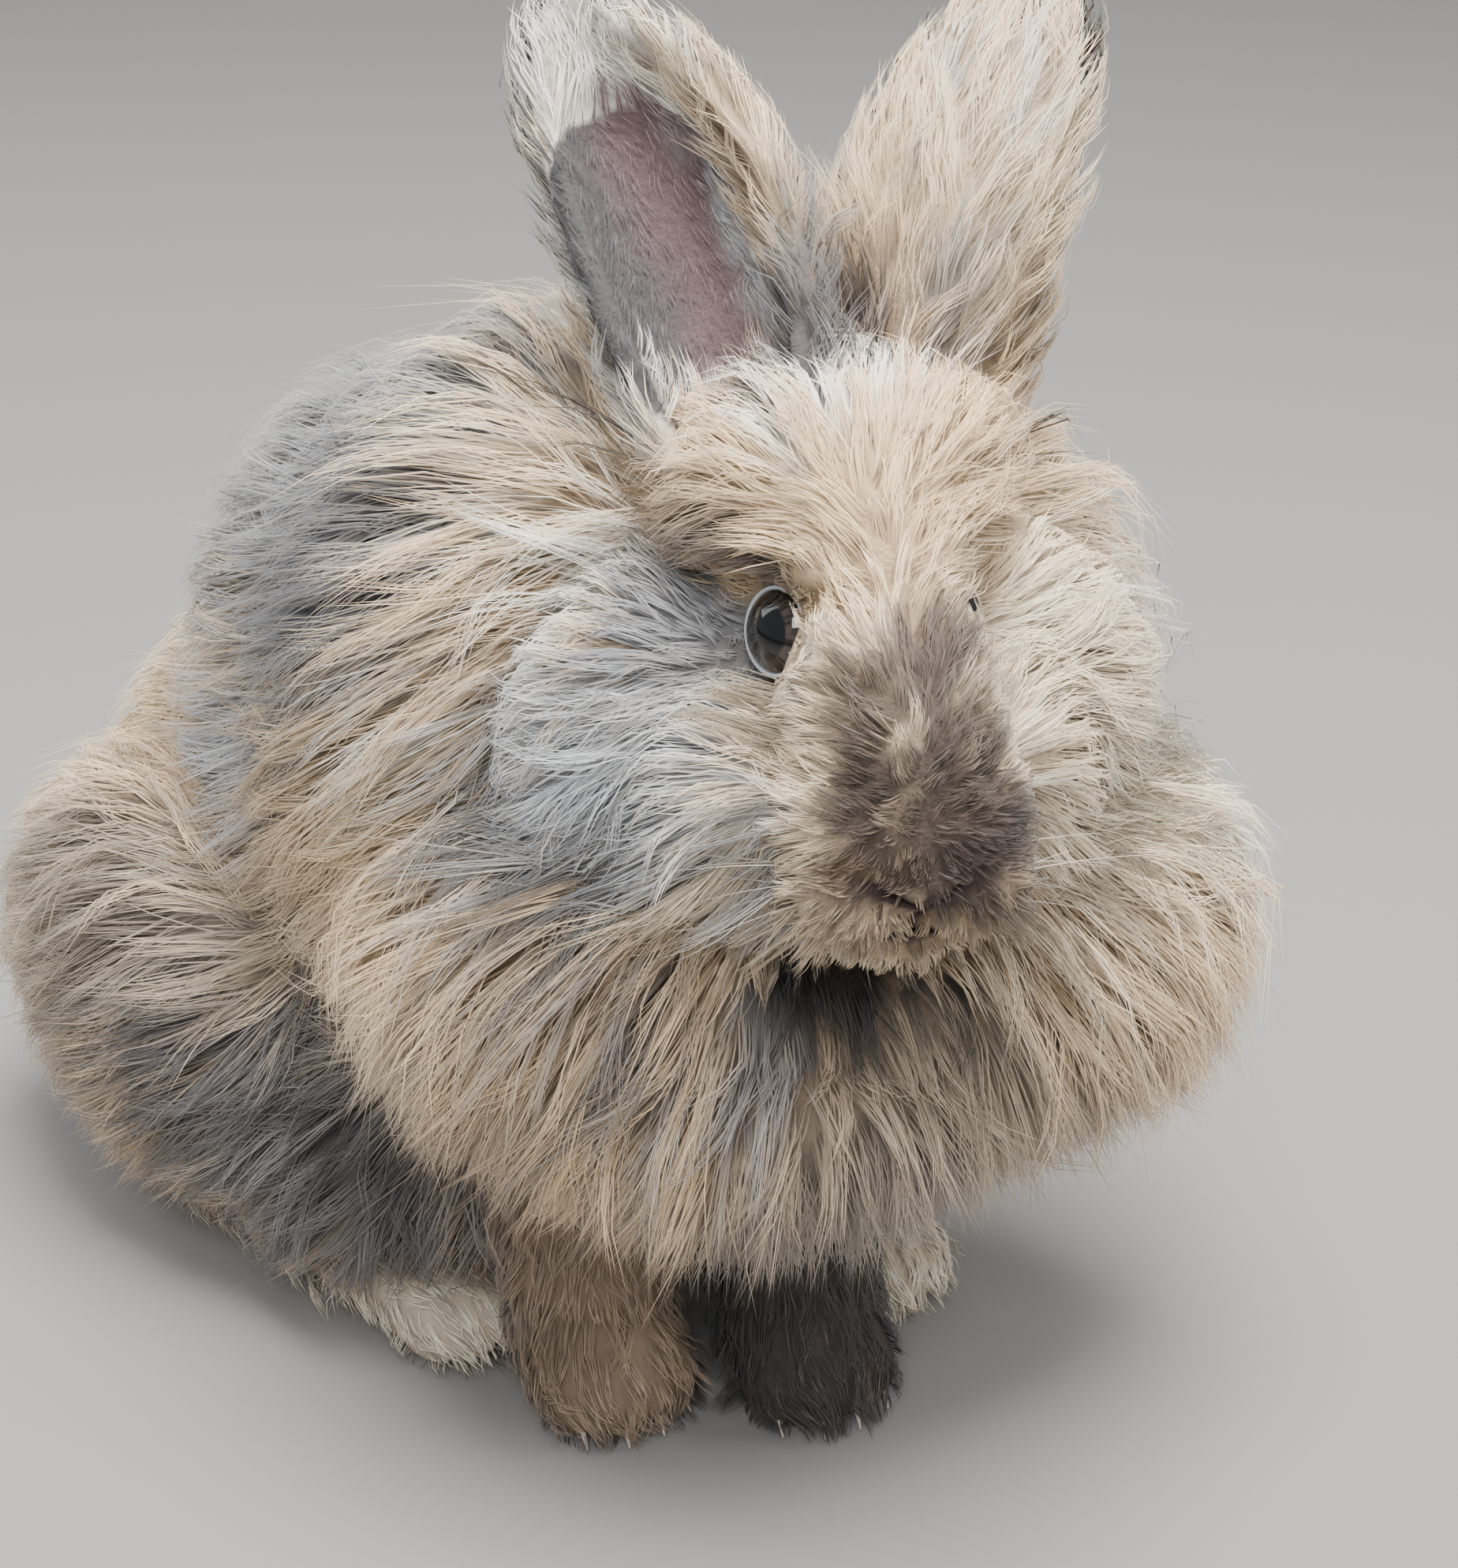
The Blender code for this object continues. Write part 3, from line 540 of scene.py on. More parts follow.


# One soft patch of the coat's colour, mostly its markings, some of them with painted shade: its middle and
# radii in millimetres, in the rabbit's own frame, the name of its colour, its strength, and how far its edge
# breaks up
Patch = namedtuple("Patch", "middle radii tone strength ragged", defaults=(1.0, 0.22))
MARKINGS = [
    Patch((0, 10, 30), (95, 120, 46), "chest", 0.55, 0.3),
    Patch((0, -98, 80), (52, 40, 36), "chest", 0.85, 0.3),
    # Dark grey at the bottom of the chest: darker towards the bottom of the body
    Patch((0, -98, 68), (56, 44, 16), "dark_grey", 0.5, 0.3),
    Patch((-30, -92, 103), (16, 14, 13), "blue_grey", 0.75, 0.3),
    Patch((-44, -56, 84), (20, 24, 22), "chest", 0.6, 0.3),
    Patch((-6, 6, 166), (64, 36, 44), "blue_grey", 0.95),
    Patch((-37, -14, 168), (18, 20, 30), "dark_grey", 0.85, 0.3),
    Patch((0, 42, 140), (50, 30, 24), "blue_grey", 0.6),
    # Greyish beige and dark grey low on the right haunch: partly the coat's own colour, partly painted shade
    # on this side, away from the light
    Patch((-56, 38, 84), (20, 34, 26), "chest", 0.8, 0.3),
    Patch((-58, 44, 80), (18, 34, 30), "dark_grey", 0.45, 0.3),
    Patch((-39, -36, 146), (12, 14, 17), "white", 0.8),
    # Greyish beige under the mane on the right flank: partly the coat's own colour, partly painted shade
    # under the mane's overhang
    Patch((-48, 10, 78), (18, 22, 16), "chest", 0.8, 0.3),
    Patch((-44, 20, 114), (20, 17, 14), "pale_grey", 0.9),
    Patch((-40, -28, 118), (14, 16, 22), "fawn", 0.7),
    # Dark grey and charcoal low on the right flank under the mane: partly the coat's own colour, partly
    # painted shade under the mane's overhang
    Patch((-44, -8, 52), (34, 48, 35), "dark_grey", 0.9),
    Patch((-46, -22, 60), (14, 22, 15), "charcoal", 0.85, 0.3),
    # Dark grey low on the left flank and the rump: darker towards the bottom of the body
    Patch((44, 0, 40), (30, 50, 28), "dark_grey", 0.6),
    Patch((0, 50, 24), (60, 60, 24), "dark_grey", 0.5),
    Patch((-15, -50, 177), (17, 12, 17), "white", 0.9),
    Patch((-29, -54, 160), (13, 12, 18), "white", 0.85),
    Patch((-25, -74, 160), (19, 14, 26), "blue_grey", 0.85),
    Patch((-36, -60, 140), (20, 22, 20), "pale_grey", 0.8),
    Patch((-30, -82, 146), (16, 20, 20), "pale_grey", 0.85),
    Patch((-11, -76, 182), (10, 10, 11), "dark_grey", 0.65),
    Patch((-20, -70, 168), (10, 12, 12), "blue_grey", 0.8),
    Patch((-30, -76, 119), (13, 18, 12), "dark_grey", 0.8),
    Patch((-24, -94, 123), (13, 11, 11), "pale_grey", 0.7),
    # Painted shadow: charcoal under the chin, where the chin's overhang casts its shade
    Patch((-9, -98, 109), (20, 14, 8), "charcoal", 0.95, 0.2),
    Patch((-9, -112, 165), (14, 14, 17), "nose_brown", 0.92, 0.4),
    Patch((2, -112, 172), (12, 11, 12), "nose_brown", 0.75, 0.5),
    Patch((-15, -118, 152), (14, 12, 14), "nose_brown", 0.97, 0.25),
    Patch((-8, -119, 157), (10, 9, 10), "nose_brown", 0.9, 0.3),
    Patch((-24, -110, 153), (7, 7, 6), "nose_brown", 0.95, 0.3),
    Patch((0, -121, 151), (9, 8, 9), "nose_brown", 0.9, 0.3),
    Patch((-20, -115, 143), (12, 9, 7), "nose_brown", 0.8, 0.3),
    Patch((-5, -122, 141), (12, 9, 8), "nose_brown", 0.8, 0.3),
    Patch((-13, -113, 132), (13, 10, 7), "tan", 0.7, 0.2),
    Patch((-25, -112, 140), (7, 7, 5), "tan", 0.8, 0.3),
    Patch((1, -122, 139), (7, 7, 5), "tan", 0.8, 0.3),
    Patch((-16, -92, 172), (4, 7, 10), "cream", 0.95, 0.1),
    Patch((8, -81, 205), (28, 16, 12), "white", 0.85),
    Patch((-1, -98, 187), (18, 13, 12), "fawn", 0.8, 0.3),
    Patch((34, -100, 150), (30, 26, 34), "cream", 0.7),
    Patch((62, -92, 136), (22, 30, 34), "white", 0.5),
    Patch((11, -66, 203), (11, 11, 26), "dark_grey", 0.95, 0.25),
    Patch((20, -68, 204), (10, 9, 14), "nose_brown", 0.8, 0.4),
    Patch((31, -71, 199), (14, 11, 15), "nose_brown", 0.6, 0.5),
    Patch((-13, -31, 218), (7, 10, 32), "white", 0.8),
    Patch((6, -22, 238), (22, 20, 20), "white", 0.9),
    Patch((-2, -50, 196), (11, 8, 9), "blue_grey", 0.8),
    Patch((50, -62, 226), (12, 14, 18), "pale_grey", 0.5, 0.4),
    Patch((60, -40, 110), (24, 26, 26), "blue_grey", 0.6),
    Patch((58, 40, 96), (22, 26, 26), "pale_grey", 0.6),
]


# The mouth, the cleft of the lip and the nostrils, in the head's frame
CREASES = [
    Form((0.0, -0.0300, -0.0390), (0.0090, 0.0090, 0.0007), 0, 12),
    Form((0.0, -0.0345, -0.0350), (0.0007, 0.0050, 0.0050), 0, 20),
    Form((-0.0042, -0.0352, -0.0292), (0.0042, 0.0040, 0.0008), -25, 22),
    Form((0.0042, -0.0352, -0.0292), (0.0042, 0.0040, 0.0008), 25, 22),
]


def crease_gap(points):
    """How far points are from the nearest crease of the nose and the mouth."""
    return gap_to([head_frame() @ slanted(form) for form in CREASES], points)


def slanted(form):
    """A crease's matrix, where a nostril also falls towards the middle as a V does."""
    roll = Matrix.Rotation(math.radians(-28 * np.sign(form.middle[0])), 4, "Y")
    return place(form._replace(radii=(1, 1, 1))) @ roll @ Matrix.Diagonal((*form.radii, 1))


WARP_REACH = 0.004
WARP_SIZE = 0.030
MOTTLE_SIZE = 0.009
FAWN_CREAM_SIZE = 0.060


def coat_colours(points, regions):
    """The colour of the coat at points in the rabbit's own frame, painted shade included, the same for the
    skin and the hair.
    """
    warp = np.clip(np.stack([ripple(points, WARP_SIZE, seed) for seed in (101, 102, 103)], 1), -1, 1)
    places = (points + WARP_REACH * warp) * 1000
    mottle = np.clip(ripple(points, MOTTLE_SIZE, 104), -1.1, 1.1)
    creamy = smoothstep(ripple(points, FAWN_CREAM_SIZE, 105), -0.9, 0.9)
    tones = blend(colour("fawn"), colour("cream"), 0.45 * creamy)
    for patch in MARKINGS:
        reach = np.linalg.norm((places - patch.middle) / patch.radii, axis=1)
        share = patch.strength * (1 - smoothstep(reach + patch.ragged * mottle, 0.55, 1.25))
        tones = blend(tones, colour(patch.tone), share)
    for limb, tone in LIMB_TONES.items():
        tones = blend(tones, colour(tone), 0.95 * regions[limb])
    tones = blend(tones, colour("white"), 0.9 * smoothstep(regions["cup"], 0.10, 0.35))
    # Painted shade in the ear's cup: dark grey along one side of the bare cup, where its shadow falls, the
    # ear's skin colour across the middle, and paler grey towards the other side
    across = regions["cup_side"] + 0.12 * mottle
    cup = blend(0.6 * colour("dark_grey"), colour("ear_skin"), smoothstep(across, -0.55, 0.25))
    cup = blend(cup, colour("pale_grey"), 0.75 * smoothstep(across, 0.50, 0.95))
    tones = blend(tones, cup, smoothstep(regions["cup"], 0.45, 0.75))
    # Painted shade in the slits: the crease colour darkens the skin and the hair within about a millimetre of
    # the nostrils, the cleft and the mouth
    return blend(tones, colour("crease"), 1 - smoothstep(crease_gap(points), 0.0003, 0.0012))


# A point of the skin belongs to an ear or a limb when it lies this near its node and this far outside
# the body, and no node is looked for farther off
NODE_REACH = 0.0016
BODY_CLEARANCE = 0.0012
SEARCH_REACH = 0.004
# How squarely the skin of a cup faces its opening, and how square the cup's outline is
CUP_FACING = 0.12
CUP_CORNERS = (2.5, 3)


def ear_ends(name):
    """An ear's root and tip in the rabbit's own frame."""
    return (np.array(head_frame() @ Vector(place)) for place in (EAR_ROOTS[name], EAR_TIPS[name]))


class Ground:
    """The skin as arrays, with what grows at each of its points."""

    def __init__(self, skin):
        mesh = skin.data
        mesh.calc_loop_triangles()
        self.points = read(mesh.vertices, "co", 3)
        self.normals = read(mesh.vertex_normals, "vector", 3)
        self.faces = read(mesh.loop_triangles, "vertices", 3, np.int32)
        self.loops = read(mesh.loop_triangles, "loops", 3, np.int32)
        self.maps = read(mesh.uv_layers["OFBake"].uv, "vector", 2)
        self.tree = BVHTree.FromPolygons(self.points.tolist(), self.faces.tolist())
        self.edges = read(mesh.edges, "vertices", 2, np.int32)
        self.own = self.points - np.array(SHIFT)
        self.regions = self.find_regions()
        self.flow = self.find_flow()
        self.grow()
        self.tones = coat_colours(self.own, self.regions)

    def smooth(self, values, rounds):
        """Averages a value with its neighbours' over the skin."""
        values = np.asarray(values, float)
        flat = values.reshape(len(values), -1)
        one, other = self.edges.T
        count = len(flat)
        degree = np.bincount(one, minlength=count) + np.bincount(other, minlength=count)
        for _ in range(rounds):
            total = np.empty_like(flat)
            for column in range(flat.shape[1]):
                line = flat[:, column]
                total[:, column] = np.bincount(one, line[other], count) + np.bincount(other, line[one], count)
            flat = 0.4 * flat + 0.6 * total / np.maximum(degree, 1)[:, None]
        return flat.reshape(values.shape)

    def find_regions(self):
        """The share of each region at each point of the skin."""
        depths = {name: gap_to(matrices, self.own) for name, matrices in form_groups().items()}
        nearest = np.argmin(list(depths.values()), axis=0)
        closest = np.min(list(depths.values()), axis=0)
        regions = {name: (nearest == index).astype(float) for index, name in enumerate(depths)}
        for name in EARS + LIMBS:
            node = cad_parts[name].data
            tree = BVHTree.FromPolygons([v.co for v in node.vertices], [p.vertices for p in node.polygons])
            gaps = [tree.find_nearest(Vector(point), SEARCH_REACH)[3] or 1.0 for point in self.points]
            found = ((np.array(gaps) < NODE_REACH) & (closest > BODY_CLEARANCE)).astype(float)
            for other in regions:
                regions[other] = regions[other] * (1 - found)
            regions[name] = found
        regions["cup"], regions["cup_side"] = self.find_cups(regions)
        return {name: self.smooth(share, 3) for name, share in regions.items()}

    def find_cups(self, regions):
        """The bare cups of the ears, and how far across a cup each point lies, from -1 to 1."""
        inside = np.zeros(len(self.points))
        cup_side = np.zeros(len(self.points))
        for name in EARS:
            opening = np.array(Vector(EAR_OPENINGS[name]).normalized())
            root, tip = ear_ends(name)
            axis = unit(tip - root)
            offset = self.own - root
            side = offset - np.outer(offset @ axis, axis)
            beside = np.linalg.norm(side - np.outer(side @ opening, opening), axis=1) / CUP_HALF_WIDTH
            cup_side += regions[name] * (side @ unit(np.cross(axis, opening))) / CUP_HALF_WIDTH
            along = offset @ axis / np.linalg.norm(tip - root)
            level = (along - sum(CUP_SPAN) / 2) / (CUP_SPAN[1] - CUP_SPAN[0]) * 2
            within = beside ** CUP_CORNERS[0] + np.abs(level) ** CUP_CORNERS[1] < 1
            inside += regions[name] * ((self.normals @ opening > CUP_FACING) & within)
        return np.clip(inside, 0, 1), cup_side

    def find_flow(self):
        """The lie of the hair along the skin."""
        flow = lie_at(self.own)
        for name in EARS:
            root, tip = ear_ends(name)
            flow = blend(flow, unit(tip - root), self.regions[name])
        for name, turn in LIMB_HEADINGS.items():
            turned = math.radians(turn)
            heading = np.array((math.sin(turned), -math.cos(turned), 0))
            lean = 1 - smoothstep(self.own[:, 2], 0.008, 0.026)[:, None]
            if name.startswith("hindfoot"):
                lean = np.ones_like(lean)
            limb = unit(heading * lean + np.array((0, 0, -1.0)) * (1 - 0.7 * lean))
            flow = blend(flow, limb, self.regions[name])
        for side in (-1, 1):
            near = 1 - smoothstep(distance(self.own, eye_middle(side)), 0.011, 0.018)
            near *= 0.9 if side < 0 else 0.35
            flow = blend(flow, unit(self.own - np.array(eye_middle(side))), near)
        flow = self.smooth(unit(flow), 6)
        flow -= self.normals * (flow * self.normals).sum(1, keepdims=True) * (self.normals[:, 2:] > UNDERSIDE)
        return unit(flow)

    def grow(self):
        """The hair's length, height, width, density and lock strength at each point of the skin."""
        shares = {name: self.regions[name] for name in ("face", "crown", "neck", "torso", "haunch", "tail")}
        shares["ear"] = self.regions["ear_right"] + self.regions["ear_left"] - self.regions["cup"]
        shares["cup"] = self.regions["cup"]
        shares["limb"] = sum(self.regions[name] for name in LIMBS)
        total = np.maximum(sum(shares.values()), 1e-6)
        for field in ("length", "height", "width", "density", "clump"):
            values = sum(share * getattr(GROWTH[name], field) for name, share in shares.items()) / total
            setattr(self, field, self.smooth(values, 8 if field in ("length", "height") else 2))
        self.rings = sum(share * GROWTH[name].rings for name, share in shares.items()) / total
        self.within_outline = 1 - (shares["ear"] + shares["cup"] + shares["limb"]) / total
        self.margin = 0.0012 + 0.0075 * shares["face"] / total
        self.trim_face()
        self.trim_eyes()
        self.trim_low()
        self.length *= chosen().length
        self.width *= chosen().thickness

    def trim_face(self):
        """Short hair on the nose that grows longer towards the cheeks and the jaw."""
        nose = distance(self.own, head_frame() @ NOSE)
        local = into(head_frame(), self.own)
        cheek = smoothstep(np.abs(local[:, 0]), 0.009, 0.024) * (1 - smoothstep(local[:, 2], -0.016, 0.000))
        cheek *= smoothstep(nose, 0.012, 0.026)
        jaw = cheek * (1 - smoothstep(local[:, 2], -0.034, -0.018))
        grown = 0.0016 + 0.19 * nose + cheek * 0.015 + jaw * 0.010
        face = self.regions["face"]
        self.length = self.length * (1 - face) + grown * face
        self.height = self.height * (1 - face) + (0.0012 + 0.20 * grown) * face

    def trim_eyes(self):
        """Bare eyes, with short hair round the right one."""
        for side, least in ((-1, 0.22), (1, 0.60)):
            gap = distance(self.own, eye_middle(side))
            self.length *= least + (1 - least) * smoothstep(gap, 0.0085, 0.0200)
            self.height *= 0.40 + 0.60 * smoothstep(gap, 0.0085, 0.0180)
            self.density *= gap > EYE_RADIUS + 0.0008

    def trim_low(self):
        """Short hair at the throat and near the floor, thin under the body, and none in the creases."""
        self.length *= 0.30 + 0.70 * smoothstep(distance(self.own, THROAT), 0.012, 0.032)
        height = self.own[:, 2]
        self.density *= (height > 0.0012) * (0.35 + 0.65 * smoothstep(-self.normals[:, 2], 0.9, 0.3))
        self.length *= 0.45 + 0.55 * smoothstep(height, 0.002, 0.012)
        self.density *= crease_gap(self.own) > 0.0007


def read(rows, field, width, kind=np.float32):
    """Reads a field of a mesh into an array of rows with a width."""
    values = np.empty(len(rows) * width, kind)
    rows.foreach_get(field, values)
    return values.reshape(-1, width)


# The coat

# Locks for each strand, the steps of a lock's middle line, and the level that the mane's tips keep to
LOCK_SHARE = 0.085
GUIDE_STEPS = 6
FRINGE_LEVEL = 0.064
# The least share of a step that a steep lock goes along the skin, how far off it the lock lets go, and
# how much it follows the lie of the hair there
LEAST_WALK = 0.3
HOLD = 0.012
FOLLOW = 0.7
# Where a strand's rings stand on its length, its width and its brightness at them, and the rings that
# a long and a short strand have
RING_PLACES = np.array([0.0, 0.30, 0.66, 1.0])
RING_WIDTHS = {4: np.array([0.75, 1.0, 0.62]), 3: np.array([0.85, 0.85])}
RING_SHADES = np.array([0.66, 0.86, 1.0, 1.08])
LONG_RINGS = [0, 1, 2, 3]
SHORT_RINGS = [0, 2, 3]
# A strand's three sides, as shares of half its width aside and upward
SIDES = ((-1.0, -0.3), (1.0, -0.3), (0.0, 0.75))
ROOT_DEPTH = 0.0005
FLOOR_GAP = 0.0006
# The width of a strand's patch on the unwrap
PATCH_SIZE = 0.003


class Roots:
    """Random places on the skin by the hair's density, as triangles and shares of their corners."""

    def __init__(self, ground, rng, share):
        a, b, c = (ground.points[ground.faces[:, corner]] for corner in range(3))
        areas = np.linalg.norm(np.cross(b - a, c - a), axis=1) / 2 * 1e6
        weights = areas * ground.density[ground.faces].mean(1)
        self.count = int(weights.sum() * share)
        rows = np.sort(rng.choice(len(weights), size=self.count, p=weights / weights.sum()))
        cuts = np.sort(rng.random((self.count, 2)), axis=1)
        self.shares = np.stack([cuts[:, 0], cuts[:, 1] - cuts[:, 0], 1 - cuts[:, 1]], 1)
        self.faces = ground.faces[rows]
        self.loops = ground.loops[rows]

    def read(self, values):
        """A field of the skin at the roots, between the corners of their triangles."""
        picked = values[self.faces]
        return (picked * (self.shares if picked.ndim == 2 else self.shares[:, :, None])).sum(1)


def rise(share):
    """How high a hair stands over the skin on the way to its tip."""
    return 1.06 * (1 - (1 - share) ** 2.1)


def walk_lock(ground, base, normal, flow, length, height, turns):
    """One lock's middle line, from its root along the skin, rising over it."""
    steps = np.linspace(0, 1, GUIDE_STEPS + 1)
    line = [base]
    for before, step, turn in zip(steps, steps[1:], turns):
        risen = (rise(step) - rise(before)) * height
        stride = length / GUIDE_STEPS
        turned = Matrix.Rotation(turn, 3, normal) @ flow
        base = base + turned * math.sqrt(max(stride**2 - risen**2, (stride * LEAST_WALK) ** 2))
        surface, outward, face, _ = ground.tree.find_nearest(base)
        if outward.z > UNDERSIDE and (surface - base).length < HOLD:
            base = surface
            normal = (normal + outward * 1.5).normalized()
            flow = flow * (1 - FOLLOW) + Vector(ground.flow[ground.faces[face]].mean(0)) * FOLLOW
            flow = (flow - normal * flow.dot(normal)).normalized()
        line.append(base + normal * rise(step) * height)
    return line


def grow_guides(ground, rng):
    """The middle lines of the locks, cut where they would leave the outline or the mane's fringe."""
    roots = Roots(ground, rng, LOCK_SHARE)
    points = roots.read(ground.points)
    normals = unit(roots.read(ground.normals))
    flows = unit(roots.read(ground.flow))
    lengths = roots.read(ground.length) * rng.uniform(0.78, 1.15, roots.count)
    heights = roots.read(ground.height) * rng.uniform(0.60, 1.20, roots.count)
    swing = np.radians(rng.normal(0, 9, roots.count))
    bend = np.radians(rng.normal(0, 16, roots.count))
    steps = np.linspace(0, 1, GUIDE_STEPS + 1)
    turns = swing[:, None] + bend[:, None] * steps[1:]
    lines = np.array([
        walk_lock(ground, Vector(point), Vector(normal), Vector(flow), length, height, turn)
        for point, normal, flow, length, height, turn in zip(points, normals, flows, lengths, heights, turns)
    ])
    body = roots.read(ground.within_outline) > 0.5
    gaps = outside(lines.reshape(-1, 3) - np.array(SHIFT)).reshape(lines.shape[:2])
    allowed = roots.read(ground.margin) + rng.uniform(0, 0.0022, roots.count)
    mane = roots.read(ground.regions["neck"]) > 0.5
    fringe = np.where(mane, FRINGE_LEVEL + rng.normal(0, 0.002, roots.count), 0.0)
    over = ((gaps > allowed[:, None]) | (lines[:, :, 2] < fringe[:, None])) & (steps[None] > 0.2)
    first = np.where(over.any(1) & body, np.argmax(over, axis=1), GUIDE_STEPS + 1)
    kept = np.clip((first - 0.6) / GUIDE_STEPS, 0.25, 1.0)
    return points, normals, between(lines, kept[:, None] * steps[None])


def between(lines, shares):
    """Points on polylines at shares of their length, one row of shares for each line."""
    spot = np.clip(shares, 0, 1.0) * GUIDE_STEPS
    low = np.minimum(spot.astype(int), GUIDE_STEPS - 1)
    part = (spot - low)[:, :, None]
    rows = np.arange(len(lines))[:, None]
    inner = lines[rows, low] * (1 - part) + lines[rows, low + 1] * part
    over = np.clip(shares - 1, 0, None)[:, :, None] * GUIDE_STEPS
    return inner + (lines[:, -1:] - lines[:, -2:-1]) * over


def nearest_locks(places, guides):
    """The lock that each of some places is nearest to."""
    search = KDTree(len(guides))
    for index, guide in enumerate(guides):
        search.insert(guide, index)
    search.balance()
    return np.array([search.find(place)[1] for place in places.tolist()])


def grow_strands(ground):
    """Every strand of the coat: its line, width, colours, root normal and place on the unwrap."""
    rng = np.random.default_rng(SEED)
    guide_points, guide_normals, lines = grow_guides(ground, rng)
    roots = Roots(ground, rng, chosen().fullness * (1.0))
    count = roots.count
    points = roots.read(ground.points)
    normals = unit(roots.read(ground.normals))
    owner = nearest_locks(points + normals * 0.005, guide_points + guide_normals * 0.005)
    strays = rng.random(count) < chosen().wildness
    clump = roots.read(ground.clump) * rng.uniform(0.6, 1.25, count)
    clump = np.where(strays, 0.05, np.clip(clump, 0, 0.92))
    reach = rng.uniform(0.62, 1.06, count) + strays * rng.uniform(0.0, 0.22, count)
    spines = between(lines[owner], reach[:, None] * RING_PLACES)
    offset = points - guide_points[owner]
    spines += offset[:, None, :] * (1 - clump[:, None] * RING_PLACES**0.8)[:, :, None]
    side = unit(np.cross(normals, unit(roots.read(ground.flow))))
    lengths = roots.read(ground.length)
    drift = rng.normal(0, 1, (count, 2)) * lengths[:, None] * np.where(strays, 0.10, 0.035)[:, None]
    aside = side * drift[:, :1] + normals * np.abs(drift[:, 1:]) * 0.8
    spines += aside[:, None, :] * (RING_PLACES**1.5)[None, :, None]
    spines[:, :, 2] = np.maximum(spines[:, :, 2], FLOOR_GAP)
    spines[:, 0] = points - normals * ROOT_DEPTH
    widths = roots.read(ground.width) * rng.uniform(0.75, 1.3, count)
    return {
        "spines": spines,
        "widths": widths,
        "normals": normals,
        "tones": strand_tones(ground, roots, rng, owner, len(guide_points)),
        "maps": (ground.maps[roots.loops] * roots.shares[:, :, None]).sum(1),
        "long": roots.read(ground.rings) > 3.5,
        "labels": label_pieces(ground, roots),
    }


def strand_tones(ground, roots, rng, owner, guides):
    """A strand's colours from root to tip: the marking at its root, darker below and paler above."""
    regions = {name: roots.read(share) for name, share in ground.regions.items()}
    base = coat_colours(roots.read(ground.own), regions)
    lock = rng.normal(0, 0.06, guides)[owner]
    single = rng.normal(0, 0.07, roots.count)
    base = base * np.exp(lock + single)[:, None]
    grey = rng.random(roots.count) < 0.10
    base = np.where(grey[:, None], base * 0.62 + colour("dark_grey") * 0.2, base)
    pale = rng.random(roots.count) < 0.08
    base = np.where(pale[:, None], base * 1.25 + 0.04, base)
    return np.clip(base[:, None, :] * RING_SHADES[None, :, None], 0.004, 0.95)


def label_pieces(ground, roots):
    """The coat piece that each root belongs to, from the first corner of its triangle."""
    stacked = np.stack([sum(ground.regions[part] for part in parts) for parts, _ in PIECES.values()], 1)
    return np.argmax(stacked[roots.faces[:, 0]], axis=1)


# The regions that a coat piece covers, and its material slot
PIECES = {
    "coat_face": (("face", "crown"), "face_coat"),
    "coat_ears": (("ear_right", "ear_left"), "ear_coat"),
    "coat_mane": (("neck",), "mane"),
    "coat_body": (("torso", "tail"), "body_coat"),
    "coat_haunches": (("haunch",), "body_coat"),
    "coat_legs": (("foreleg_right", "hindfoot_right", "hindfoot_left"), "leg_coat"),
    "coat_dark_leg": (("foreleg_left",), "dark_leg_coat"),
}


def paint_points(mesh, tones):
    """Keeps the coat's colour at each point of a mesh."""
    paint = mesh.attributes.new("coat_colour", "FLOAT_COLOR", "POINT")
    opaque = np.concatenate([tones, np.ones((*tones.shape[:-1], 1))], -1)
    paint.data.foreach_set("color", opaque.astype(np.float32).ravel())


def strand_mesh(name, spines, widths, normals, tones, maps):
    """Joins strands into one mesh: three sides, a closed root and a point."""
    count, rings = spines.shape[:2]
    along = unit(np.gradient(spines, axis=1))
    side = unit(np.cross(normals[:, None, :], along))
    top = unit(np.cross(along, side))
    half = widths[:, None, None] * RING_WIDTHS[rings][None, :, None] / 2
    corners = [spines[:, :-1] + side[:, :-1] * half * x + top[:, :-1] * half * y for x, y in SIDES]
    tube = np.stack(corners, 2).reshape(count, -1, 3)
    points = np.concatenate([tube, spines[:, -1:]], 1)
    per = points.shape[1]
    faces, spots = strand_faces(rings)
    all_faces = (faces[None] + np.arange(count)[:, None, None] * per).reshape(-1)
    triangles = len(all_faces) // 3
    mesh = bpy.data.meshes.new(name)
    mesh.vertices.add(count * per)
    mesh.vertices.foreach_set("co", points.astype(np.float32).ravel())
    mesh.loops.add(len(all_faces))
    mesh.loops.foreach_set("vertex_index", all_faces.astype(np.int32))
    mesh.polygons.add(triangles)
    mesh.polygons.foreach_set("loop_start", np.arange(0, triangles * 3, 3, dtype=np.int32))
    mesh.polygons.foreach_set("loop_total", np.full(triangles, 3, np.int32))
    layer = mesh.uv_layers.new(name="OFBake")
    patch = maps[:, None, :] + (spots[None] - 0.5) * PATCH_SIZE
    layer.uv.foreach_set("vector", np.clip(patch, 0, 1).astype(np.float32).ravel())
    paint_points(mesh, np.concatenate([np.repeat(tones[:, :-1], 3, axis=1), tones[:, -1:]], 1))
    mesh.update(calc_edges=True)
    mesh.validate()
    shading = np.repeat(normals[:, None], per, axis=1).reshape(-1, 3)
    own = read(mesh.vertex_normals, "vector", 3)
    mesh.normals_split_custom_set_from_vertices(unit(shading * 0.8 + own * 0.35))
    return link(bpy.data.objects.new(name, mesh))


